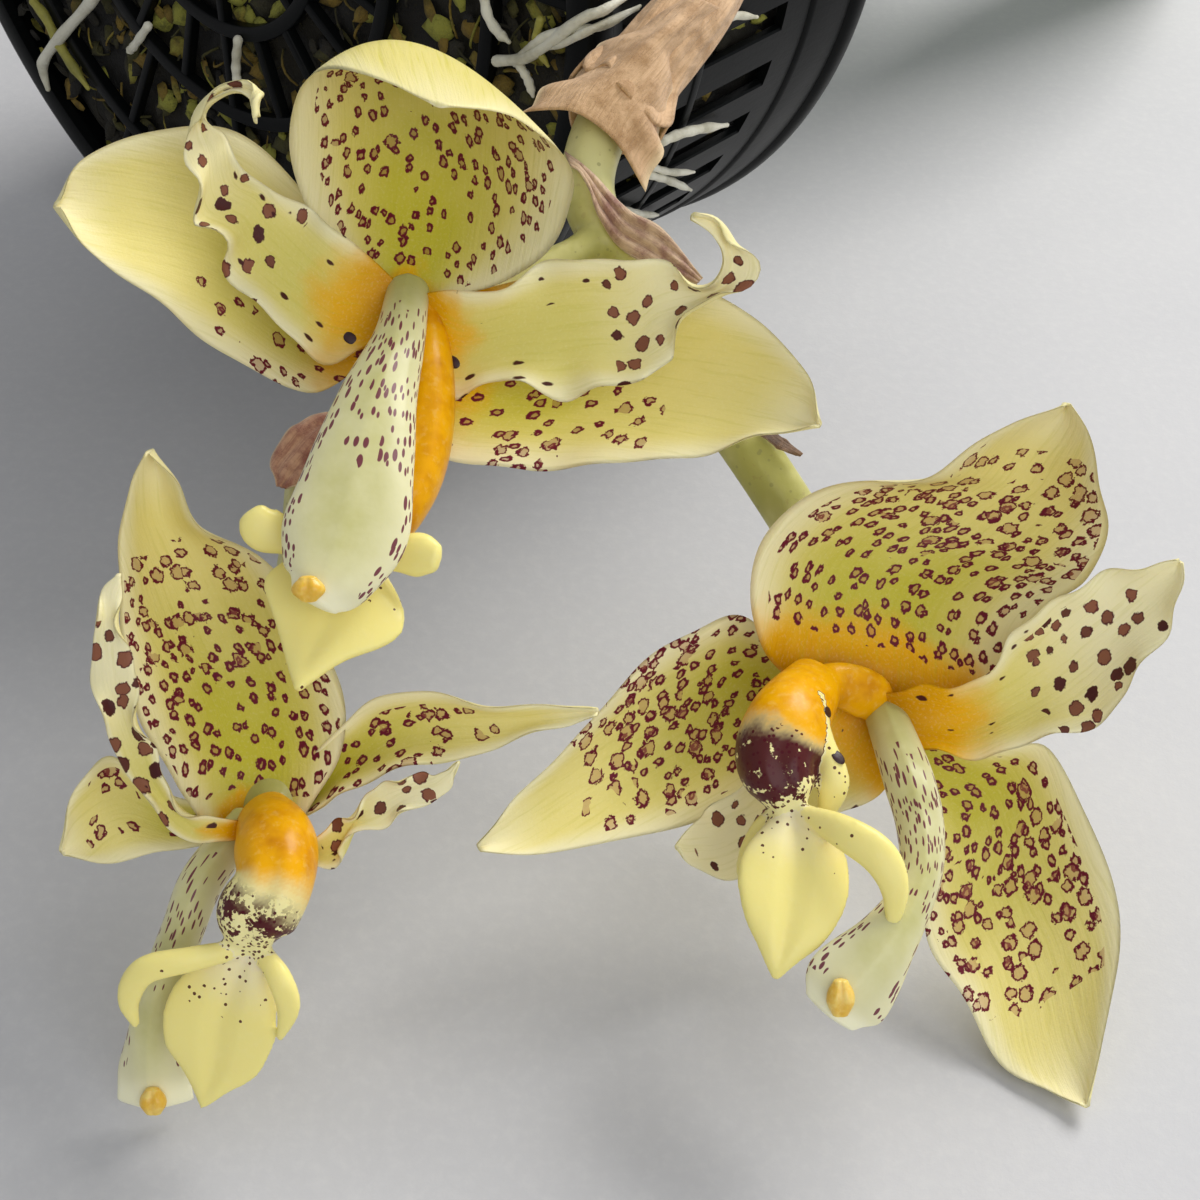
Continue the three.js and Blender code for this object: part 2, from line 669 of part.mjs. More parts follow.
// Stem with the three flower stalks that grow from it
function stemSolid(grow) {
  const seats = [[flowerOne, stalkOne], [flowerTwo, stalkTwo], [flowerThree, stalkThree]];
  const parts = [round(stemPath, 22, 10, grow)];
  seats.forEach(([flower, stalk]) => {
    parts.push(round(stalk, 3 * stalk.length, 8, grow));
    const end = new THREE.SphereGeometry(flowerSeat + grow, 10, 7);
    end.scale(1, 1, 0.7);
    end.translate(flower.centre[0], flower.centre[1], flower.centre[2] - seatDepth);
    parts.push(solidOf(end));
  });
  return mainBody(joined(parts));
}

const stem = stemSolid(0);
const stemRoom = stemSolid(seatGap);
addPiece(flowerFrame, 'flower_stem', stem, 'stem');

function addBlade(name, shape, thickness, kind, cutters, rows, columns) {
  let solid = solidOf(bladeGeometry(shape, thickness, rows, columns));
  cutters.forEach((cutter) => { solid = solid.subtract(cutter); });
  addPiece(flowerFrame, name, mainBody(solid), kind);
}

const longBractRoom = solidOf(bladeGeometry(longBract, 0.7, 7, 2, seatGap));
addBlade('bract_long', longBract, 0.7, 'bract', [stemRoom], 7, 2);
addBlade('sheath', sheath, 0.8, 'bract', [stemRoom, longBractRoom], 9, 6);
addBlade('bract_small', smallBract, 0.7, 'bract', [stemRoom], 5, 2);
addBlade('bract_hidden', hiddenBract, 0.8, 'bract', [stemRoom], 6, 2);

// One flower: inner pieces first, so that each outer piece is cut clear of them
function addFlower(name, flower) {
  const place = (shape) => shifted(shape, flower.centre);
  const cutters = [stemRoom];
  const cut = (solid) => mainBody(cutters.reduce((rest, cutter) => rest.subtract(cutter), solid));
  const anther = place(flower.anther);
  addPiece(flowerFrame, `${name}_anther_cap`, cut(swept(anther, 4, 8)), 'anther');
  cutters.push(swept(anther, 4, 8, seatGap));
  const column = place(flower.column);
  addPiece(flowerFrame, `${name}_column`, cut(swept(column, 10, 10)), 'column');
  cutters.push(swept(column, 10, 10, seatGap));
  const lipParts = Object.values(flower.lip).map(place);
  addPiece(flowerFrame, `${name}_lip`, cut(joined(lipParts.map((part) => swept(part, 8, 8)))), 'lip');
  cutters.push(...lipParts.map((part) => swept(part, 8, 8, seatGap)));
  const tepals = {
    left_petal: flower.leftPetal,
    right_petal: flower.rightPetal,
    upper_sepal: flower.upperSepal,
    left_sepal: flower.leftSepal,
    right_sepal: flower.rightSepal,
  };
  Object.entries(tepals).forEach(([part, shape]) => {
    const placed = place(shape);
    const rows = Math.max(9, shape.left.length + 2);
    const whole = solidOf(bladeGeometry(placed, petalThickness, rows, 4));
    addPiece(flowerFrame, `${name}_${part}`, cut(whole), 'petal');
    cutters.push(solidOf(bladeGeometry(placed, petalThickness, rows, 4, seatGap)));
  });
}

addFlower('flower_1', flowerOne);
addFlower('flower_2', flowerTwo);
addFlower('flower_3', flowerThree);

// Basket: a turned shell with a ribbed base and a slotted wall
function ringSector(inner, outer, from, to, depth) {
  const shape = new THREE.Shape();
  shape.absarc(0, 0, outer, from, to, false);
  shape.absarc(0, 0, inner, to, from, true);
  shape.closePath();
  const geometry = new THREE.ExtrudeGeometry(shape, { depth, bevelEnabled: false, curveSegments: 2 });
  geometry.translate(0, 0, -depth / 2);
  return solidOf(geometry);
}

const profile = [
  [0, 0], [footRadius - 2, 0], [footRadius, 1.5], [footRadius, 5], [wallRadius, 6.5],
  [wallRadius, basketDepth - 5], [rimRadius, basketDepth - 4], [rimRadius, basketDepth - 1],
  [rimRadius - 1, basketDepth], [wallRadius - wallThickness, basketDepth],
  [wallRadius - wallThickness, baseThickness], [0, baseThickness],
].map((p) => new THREE.Vector2(p[0], p[1]));
const shellShape = new THREE.LatheGeometry(profile, basketSides, Math.PI / basketSides);
shellShape.rotateX(Math.PI / 2);
shellShape.scale(1, -1, 1);
let shell = solidOf(shellShape);

const cuts = [];
for (let i = 0; i < basketSides; i += 1) {
  const slot = new THREE.BoxGeometry(12, slotWidth, slotEnd - slotStart);
  slot.translate(wallRadius, 0, (slotStart + slotEnd) / 2);
  slot.rotateZ((2 * Math.PI * (i + 0.5)) / basketSides);
  cuts.push(solidOf(slot));
}
baseRings.forEach(([inner, outer, count]) => {
  for (let i = 0; i < count; i += 1) {
    const from = (2 * Math.PI * i) / count + ribWidth / (inner + outer);
    const to = (2 * Math.PI * (i + 1)) / count - ribWidth / (inner + outer);
    cuts.push(ringSector(inner, outer, from, to, 8));
  }
});
cuts.forEach((cut) => { shell = shell.subtract(cut); });
shell = shell.subtract(intoBasket(stemSolid(seatGap)));

// Trimmed flat where it lies on the floor
const below = new THREE.BoxGeometry(600, 600, 20);
below.translate(0, 0, -10);
below.applyMatrix4(new THREE.Matrix4().makeTranslation(basketCentre[0], basketCentre[1], 0));
below.applyMatrix4(basketFrame.matrixWorld.clone().invert());
shell = shell.subtract(solidOf(below));
addPiece(basketFrame, 'basket', mainBody(shell), 'basket');

// Root ball with the roots that grow out of it
const mossProfile = [
  [0, 3.4], [30, 3.8], [60, 3.8], [88, 4], [rootBallRadius, 9], [rootBallRadius + 0.3, 24],
  [rootBallRadius + 0.3, 40], [rootBallRadius, 58], [rootBallRadius - 3, rootBallDepth], [60, rootBallDepth + 4],
  [25, rootBallDepth + 5], [0, rootBallDepth + 5],
].map((p) => new THREE.Vector2(p[0], p[1]));
const mossShape = new THREE.LatheGeometry(mossProfile, 28);
mossShape.rotateX(Math.PI / 2);
mossShape.scale(1, -1, 1);
mossShape.deleteAttribute('normal');
mossShape.deleteAttribute('uv');
const moss = mergeVertices(mossShape, 1e-3);
const mossPoints = moss.attributes.position;
for (let i = 0; i < mossPoints.count; i += 1) {
  const x = mossPoints.getX(i);
  const y = mossPoints.getY(i);
  const z = mossPoints.getZ(i);
  const size = Math.hypot(x, y) || 1;
  const inward = 1 - (mossBump * scatter(x, y, z)) / size;
  const lift = z > 50 ? 4 * (scatter(y, z, x) - 0.5) : 0.5 * scatter(y, z, x);
  mossPoints.setXYZ(i, x * inward, y * inward, z + lift);
}
let rootBall = solidOf(moss);
roots.forEach((path) => {
  const sizes = path.map((p, i) => rootRadius * (i === path.length - 1 ? 0.55 : 1));
  rootBall = rootBall.add(solidOf(sweptGeometry(path, sizes, sizes, 9, 5)));
});
rootBall = rootBall.subtract(intoBasket(stemRoom));

// Pseudobulbs stand in hollows of the root ball
function bulbGeometry(bulb, grow) {
  const [x, y] = bulb.at;
  const spine = [0, 0.25, 0.5, 0.78, 1].map((s) => [x + bulb.lean[0] * s, y + bulb.lean[1] * s,
    bulbFoot + bulbHeight * s]);
  const sizes = [0.45, 0.92, 1, 0.66, 0.16].map((s) => bulb.radius * s);
  return sweptGeometry(spine, sizes, sizes, 8, 12, grow, 0.07);
}
const bulbRooms = bulbs.map((bulb) => solidOf(bulbGeometry(bulb, seatGap)));
bulbRooms.forEach((room) => { rootBall = rootBall.subtract(room); });
addPiece(basketFrame, 'root_ball', mainBody(rootBall), 'moss');
bulbs.forEach((bulb, i) => {
  addPiece(basketFrame, `pseudobulb_${i + 1}`, solidOf(bulbGeometry(bulb, 0)), 'bulb');
});

leaves.forEach((leaf, i) => {
  const curve = new THREE.CatmullRomCurve3(vectors(leaf.spine), false, 'catmullrom', 0.5);
  const rail = (side) => leaf.spine.map((p, k) => {
    const tangent = curve.getTangent(k / (leaf.spine.length - 1));
    const across = new THREE.Vector3(1, 0, 0).addScaledVector(tangent, -tangent.x).normalize();
    const up = across.clone().cross(tangent).normalize();
    const point = new THREE.Vector3(p[0], p[1], p[2])
      .addScaledVector(across, side * leaf.wide[k]).addScaledVector(up, -0.16 * leaf.wide[k]);
    return point.toArray();
  });
  const shape = { left: rail(-1), mid: leaf.spine, right: rail(1) };
  const solid = solidOf(bladeGeometry(shape, leafThickness, 14, 4)).subtract(bulbRooms[i]);
  addPiece(basketFrame, `leaf_${i + 1}`, mainBody(solid), 'leaf');
});

// The origin is in the middle of the underside
orchid.updateMatrixWorld(true);
const box = new THREE.Box3().setFromObject(orchid, true);
const model = new THREE.Group();
orchid.position.set(-(box.min.x + box.max.x) / 2, -(box.min.y + box.max.y) / 2, -box.min.z);
model.add(orchid);
model.updateMatrixWorld(true);

export default model;
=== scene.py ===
import math
import random

import bpy
import numpy as np
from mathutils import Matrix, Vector


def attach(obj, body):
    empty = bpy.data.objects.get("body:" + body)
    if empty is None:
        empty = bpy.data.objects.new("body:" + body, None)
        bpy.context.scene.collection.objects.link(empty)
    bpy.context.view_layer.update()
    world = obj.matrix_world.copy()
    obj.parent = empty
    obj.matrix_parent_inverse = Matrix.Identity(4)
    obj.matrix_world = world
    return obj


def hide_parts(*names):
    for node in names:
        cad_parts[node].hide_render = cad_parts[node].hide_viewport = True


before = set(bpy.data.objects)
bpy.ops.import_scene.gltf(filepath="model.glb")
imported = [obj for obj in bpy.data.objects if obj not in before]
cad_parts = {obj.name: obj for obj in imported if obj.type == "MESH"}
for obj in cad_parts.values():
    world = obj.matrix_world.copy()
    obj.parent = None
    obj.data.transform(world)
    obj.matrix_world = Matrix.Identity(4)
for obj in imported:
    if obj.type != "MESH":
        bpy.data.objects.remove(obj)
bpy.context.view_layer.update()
mm = 0.001

# the flowers' own frame leans back; the basket's frame points out of its mouth
flowerLean = math.radians(50)
flowerFrameAt = np.array([-10.881, -198.506, 49.8])
basketHeading = math.radians(42)
basketAt = np.array([-84.881, -45.806, 98.438])

flowerAxes = np.array([
    [1, 0, 0],
    [0, math.cos(flowerLean), math.sin(flowerLean)],
    [0, -math.sin(flowerLean), math.cos(flowerLean)],
])
outward = np.array([math.sin(basketHeading), math.cos(basketHeading), 0])
aside = np.array([math.cos(basketHeading), -math.sin(basketHeading), 0])
basketAxes = np.array([aside, np.cross(outward, aside), outward])


def fromFlower(points):
    return (np.asarray(points, float) @ flowerAxes + flowerFrameAt) * mm


def fromBasket(points):
    return (np.asarray(points, float) @ basketAxes + basketAt) * mm


# camera of the photograph: millimetres, degrees down, and the photo's width in pixels
cameraSettings = {"at": [-10.881, -416.806, 233], "tilt": 40, "lens": 60, "sensor": 36, "photoSize": 1200}
eyeAt = np.array(cameraSettings["at"]) * mm
cameraTilt = math.radians(cameraSettings["tilt"])
cameraData = bpy.data.cameras.new("photoCamera")
cameraData.sensor_width = cameraSettings["sensor"]
cameraData.lens = cameraSettings["lens"]
cameraData.clip_start = 0.01
camera = bpy.data.objects.new("photoCamera", cameraData)
camera.location = eyeAt
camera.rotation_euler = (math.pi / 2 - cameraTilt, 0, 0)
bpy.context.scene.collection.objects.link(camera)
bpy.context.scene.camera = camera


def linear(code):
    parts = [int(code[i:i + 2], 16) / 255 for i in (0, 2, 4)]
    return tuple(p / 12.92 if p < 0.04045 else ((p + 0.055) / 1.055) ** 2.4 for p in parts) + (1.0,)


class Wire:
    # a value between shader nodes, with ordinary arithmetic
    def __init__(self, look, socket):
        self.look = look
        self.socket = socket

    def math(self, kind, *others):
        return self.look.sum(kind, self, *others)

    def __add__(self, other):
        return self.math("ADD", other)

    def __sub__(self, other):
        return self.math("SUBTRACT", other)

    def __mul__(self, other):
        return self.math("MULTIPLY", other)

    def __truediv__(self, other):
        return self.math("DIVIDE", other)

    def __radd__(self, other):
        return self.look.sum("ADD", other, self)

    def __rsub__(self, other):
        return self.look.sum("SUBTRACT", other, self)

    def __rmul__(self, other):
        return self.look.sum("MULTIPLY", other, self)

    def __lt__(self, other):
        return self.math("LESS_THAN", other)

    def __gt__(self, other):
        return self.math("GREATER_THAN", other)

    def __abs__(self):
        return self.math("ABSOLUTE")

    def ramp(self, start, end):
        # 0 at start and 1 at end, smooth between them
        return self.look.make("ShaderNodeMapRange", {"interpolation_type": "SMOOTHSTEP"},
                              [self, start, end, 0.0, 1.0])


class Look:
    def __init__(self, name):
        self.material = bpy.data.materials.new(name)
        self.material.use_nodes = True
        self.tree = self.material.node_tree
        self.surface = self.tree.nodes["Principled BSDF"]

    def make(self, kind, settings=None, sockets=(), out=0):
        node = self.tree.nodes.new(kind)
        for key, value in (settings or {}).items():
            setattr(node, key, value)
        pairs = sockets.items() if isinstance(sockets, dict) else enumerate(sockets)
        for key, value in pairs:
            if isinstance(value, Wire):
                self.tree.links.new(value.socket, node.inputs[key])
            else:
                node.inputs[key].default_value = value
        return Wire(self, node.outputs[out])

    def sum(self, kind, *values):
        return self.make("ShaderNodeMath", {"operation": kind}, values)

    def vector(self, kind, *values):
        return self.make("ShaderNodeVectorMath", {"operation": kind}, values)

    def scaled(self, vector, *by):
        return self.vector("MULTIPLY", vector, by)

    def twin(self, wire, out):
        # another output of the node that a wire comes from
        return Wire(self, wire.socket.node.outputs[out])

    def mix(self, amount, first, second):
        return self.make("ShaderNodeMix", {"data_type": "RGBA"}, {0: amount, 6: first, 7: second}, out=2)

    def attribute(self, name):
        return self.make("ShaderNodeAttribute", {"attribute_name": name}, out=2)

    def place(self):
        return self.make("ShaderNodeTexCoord", out=3)

    def flat(self):
        return self.make("ShaderNodeUVMap", {"uv_map": "flat"})

    def noise(self, vector, scale, detail=3.0, rough=0.6, size="3D"):
        return self.make("ShaderNodeTexNoise", {"noise_dimensions": size},
                         {"Vector": vector, "Scale": scale, "Detail": detail, "Roughness": rough})

    def cells(self, vector, scale, size="3D", randomness=1):
        # the distance to a cell's middle and three random numbers of that cell
        near = self.make("ShaderNodeTexVoronoi", {"voronoi_dimensions": size},
                         {"Vector": vector, "Scale": scale, "Randomness": randomness})
        dice = self.make("ShaderNodeSeparateColor", {}, [self.twin(near, 1)])
        return near, dice, self.twin(dice, 1), self.twin(dice, 2)

    def paint(self, sockets):
        for name, value in sockets.items():
            if isinstance(value, Wire):
                self.tree.links.new(value.socket, self.surface.inputs[name])
            else:
                self.surface.inputs[name].default_value = value

    def finish(self, colour, roughness, height, strength, distance, fixed=None):
        # what varies over the surface, then what is the same all over
        bump = self.make("ShaderNodeBump", {}, {"Strength": strength, "Distance": distance, "Height": height})
        self.paint({"Base Color": colour, "Roughness": roughness, "Normal": bump, **(fixed or {})})
        return self


def fleshy(weight, radius, scale):
    return {"Subsurface Weight": weight, "Subsurface Radius": radius, "Subsurface Scale": scale}


def coated(weight, roughness, level):
    return {"Coat Weight": weight, "Coat Roughness": roughness, "Specular IOR Level": level}


# curves and surfaces
def extended(points):
    return np.vstack([2 * points[0] - points[1], points, 2 * points[-1] - points[-2]])


def runLength(points):
    return np.r_[0, np.cumsum(np.linalg.norm(np.diff(points, axis=0), axis=1))]


def smoothLine(points, count):
    p = np.asarray(points, float)
    ext = extended(p)
    steps = np.linspace(0, 1, 24, endpoint=False)[:, None]
    dense = [0.5 * (2 * ext[i + 1] + (ext[i + 2] - ext[i]) * steps
                    + (2 * ext[i] - 5 * ext[i + 1] + 4 * ext[i + 2] - ext[i + 3]) * steps ** 2
                    + (3 * ext[i + 1] - ext[i] - 3 * ext[i + 2] + ext[i + 3]) * steps ** 3)
             for i in range(len(p) - 1)]
    dense = np.vstack(dense + [p[-1:]])
    run = runLength(dense)
    at = np.linspace(0, run[-1], count)
    return np.stack([np.interp(at, run, dense[:, k]) for k in range(p.shape[1])], 1)


def keyedLine(points, count):
    # like smoothLine, but even between the given points rather than by length
    p = np.asarray(points, float)
    ext = extended(p)
    at = np.linspace(0, len(p) - 1, count)
    i = np.minimum(at.astype(int), len(p) - 2)
    t = (at - i)[:, None]
    a, b, c, d = ext[i], ext[i + 1], ext[i + 2], ext[i + 3]
    return 0.5 * (2 * b + (c - a) * t + (2 * a - 5 * b + 4 * c - d) * t ** 2
                  + (3 * b - a - 3 * c + d) * t ** 3)


def unit(v):
    return v / np.maximum(np.linalg.norm(v, axis=-1, keepdims=True), 1e-9)


def framed(line, aim=(0, 0, 1.0)):
    # the way along a line and two ways across it
    tangent = unit(np.gradient(line, axis=0))
    across = unit(np.cross(tangent, aim))
    return tangent, across, np.cross(across, tangent)


def circle(sides):
    return np.linspace(0, 2 * math.pi, sides, endpoint=False)


def eased(x, start, end):
    t = np.clip((x - start) / (end - start), 0, 1)
    return t * t * (3 - 2 * t)


def dent(x, width):
    return np.exp(-(x / width) ** 2)


def makeObject(name, points, faces, look, node=None):
    mesh = bpy.data.meshes.new(name)
    mesh.from_pydata([tuple(p) for p in points], [], [tuple(f) for f in faces])
    mesh.materials.append(look.material)
    mesh.polygons.foreach_set("use_smooth", [True] * len(mesh.polygons))
    mesh.update()
    piece = bpy.data.objects.new(name, mesh)
    bpy.context.scene.collection.objects.link(piece)
    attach(piece, "root")
    if node:
        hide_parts(node)
    return piece


class Parts:
    # collects closed bodies that become one piece
    def __init__(self):
        self.points, self.faces, self.count = [], [], 0

    def add(self, points, faces):
        self.points.append(np.asarray(points, float))
        self.faces += [tuple(i + self.count for i in face) for face in faces]
        self.count += len(points)

    def build(self, name, place, look, slot, node):
        return makeObject(name, place(np.vstack(self.points)), self.faces, look, node)


def addAttributes(piece, values):
    # a single number goes to every point
    count = len(piece.data.vertices)
    for name, value in values.items():
        data = piece.data.attributes.new(name, "FLOAT", "POINT")
        data.data.foreach_set("value", np.broadcast_to(np.ravel(value), count).astype(np.float32))


def addFlatMap(piece, across, along):
    # a flat map of the surface, in units of 100 mm, so that round spots stay round
    layer = piece.data.uv_layers.new(name="flat")
    loops = np.empty(len(piece.data.loops), np.int32)
    piece.data.loops.foreach_get("vertex_index", loops)
    uv = np.stack([np.ravel(across)[loops], np.ravel(along)[loops]], 1).astype(np.float32)
    layer.data.foreach_set("uv", uv.ravel())


def twice(values):
    return np.concatenate([np.ravel(values), np.ravel(values)])


def tubeFaces(rings, sides):
    # quads between closed rings of points
    return [(i * sides + j, i * sides + k, (i + 1) * sides + k, (i + 1) * sides + j)
            for i in range(rings - 1) for j, k in zip(range(sides), [*range(1, sides), 0])]


def sleeveFaces(rings, sides):
    # two skins of rings, joined along both rims
    back, top = rings * sides, (rings - 1) * sides
    faces = []
    for quad in tubeFaces(rings, sides):
        faces += [quad[::-1], tuple(i + back for i in quad)]
    for j in range(sides):
        k = (j + 1) % sides
        faces += [(j, k, k + back, j + back), (top + k, top + j, top + j + back, top + k + back)]
    return faces


def bladeMiddle(shape, rows, columns):
    # the middle surface of a blade between two rails, from its middle line or its cup
    left = smoothLine(shape["left"], rows)
    right = smoothLine(shape["right"], rows)
    s = np.linspace(0, 1, rows)
    normals = unit(np.cross(np.gradient(left + right, axis=0), right - left))
    if normals[:, 2].sum() < 0:
        normals = -normals
    if "mid" in shape:
        centre = smoothLine(shape["mid"], rows)
    else:
        foot, middle, tip = shape.get("cup", (0, 0, 0))
        cup = foot * (1 - s) * (1 - 2 * s) + middle * 4 * s * (1 - s) + tip * s * (2 * s - 1)
        centre = (left + right) / 2 - normals * cup[:, None]
    u = np.linspace(-1, 1, columns)[None, :, None]
    grid = (centre[:, None] * (1 - u * u) + left[:, None] * u * (u - 1) / 2
            + right[:, None] * u * (u + 1) / 2)
    facing = unit(np.cross(np.gradient(grid, axis=0), np.gradient(grid, axis=1)))
    if facing[..., 2].sum() < 0:
        facing = -facing
    return grid, facing, s


def waves(grid, facing, s, edges):
    # low ruffles that grow toward each margin: height, turns and phase of the left and the right one
    u = np.linspace(-1, 1, grid.shape[1])[None, :]
    ends = (eased(s, 0.04, 0.2) * (1 - eased(s, 0.88, 1.0)))[:, None]
    lift = np.zeros(grid.shape[:2])
    for side, (height, turns, phase) in zip((-1, 1), edges):
        near = np.clip(side * u, 0, 1) ** 2.6
        ripple = (np.sin(2 * math.pi * (turns * s + phase))
                  + 0.45 * np.sin(2 * math.pi * (1.9 * turns * s + 2.3 * phase)))
        lift += height * near * ripple[:, None] * ends
    return grid + facing * lift[..., None]


def thickBlade(name, grid, facing, thickness, look, node, place, seed, extra=None):
    # a thin body round a grid of points, thinner toward its margins
    rows, columns = grid.shape[:2]
    normal = unit(np.cross(np.gradient(grid, axis=0), np.gradient(grid, axis=1)))
    if (normal * facing).sum() < 0:
        normal = -normal
    u = np.linspace(-1, 1, columns)
    s = np.linspace(0, 1, rows)
    edge = np.sqrt(np.clip(1 - np.abs(u) ** 8, 0, 1))
    half = thickness / 2 * edge[None, :] * (0.65 + 0.35 * np.sqrt(np.clip(1 - s ** 12, 0, 1)))[:, None]
    half = (half * (1 - 0.35 * np.abs(u)[None, :] ** 2))[..., None]
    points = np.concatenate([(grid + normal * half).reshape(-1, 3), (grid - normal * half).reshape(-1, 3)])
    back = rows * columns
    index = np.arange(back).reshape(rows, columns)
    quads = np.stack([index[:-1, :-1], index[1:, :-1], index[1:, 1:], index[:-1, 1:]], -1).reshape(-1, 4)
    border = [*index[:, 0], *index[-1, 1:], *index[::-1, -1][1:], *index[0, ::-1][1:]]
    rim = [(q, p, p + back, q + back) for p, q in zip(border[:-1], border[1:])]
    piece = makeObject(name, place(points), [*quads, *(quads[:, ::-1] + back), *rim], look, node)
    run = runLength(grid[:, columns // 2])
    spread = np.cumsum(np.linalg.norm(np.diff(grid, axis=1, prepend=grid[:, :1]), axis=2), axis=1)
    spread = spread - spread[:, columns // 2:columns // 2 + 1]
    addFlatMap(piece, twice(spread / 100 + 3.1 * seed), twice(np.repeat(run, columns) / 100))
    addAttributes(piece, {"side": twice(np.tile(u, rows)), "reach": run[-1],
                          "inside": np.repeat([1.0, 0.0], back), **(extra or {})})
    return piece


def closedTube(spine, ring, tangent, cap):
    # rings of points with rounded ends, and how far along and around each point lies
    rows, sides = ring.shape[:2]
    steps = [k * math.pi / 10 for k in range(1, 5)]
    ends = [[spine[at] + ring[at] * math.cos(turn) + sign * tangent[at] * cap[at] * math.sin(turn)
             for turn in steps]
            for at, sign in ((0, -1), (rows - 1, 1))]
    loops = ends[0][::-1] + list(spine[:, None] + ring) + ends[1]
    count = len(loops)
    tips = [spine[0] - tangent[0] * cap[0], spine[-1] + tangent[-1] * cap[-1]]
    points = np.concatenate(loops + [tips])
    faces = tubeFaces(count, sides)
    first, last = count * sides, (count - 1) * sides
    for j in range(sides):
        k = (j + 1) % sides
        faces += [(first, k, j), (first + 1, last + j, last + k)]
    roundings = len(steps) * sides
    along = np.r_[np.zeros(roundings), np.repeat(np.linspace(0, 1, rows), sides), np.ones(roundings), 0, 1]
    around = np.r_[np.tile(np.linspace(0, 1, sides, endpoint=False), count), 0, 0]
    return points, faces, along, around


def sectionTube(shape, rows, sides, form, start=0.0, cap=None):
    # a tube whose section is bent by form(t, angle) -> (across, up) factors
    spine = keyedLine(shape["spine"], rows)
    size = keyedLine(np.stack([shape["wide"], shape["deep"]], 1), rows)
    tangent, across, up = framed(spine)
    x, y = form(np.linspace(0, 1, rows)[:, None], circle(sides)[None, :] + start)
    wide, deep = np.maximum(size, 0.25).T[..., None]
    ring = across[:, None] * (wide * x)[..., None] + unit(up)[:, None] * (deep * y)[..., None]
    return closedTube(spine, ring, tangent, 0.4 * size.min(1) if cap is None else cap * size[:, 1])


def roundForm(t, angle):
    return np.cos(angle), np.sin(angle)


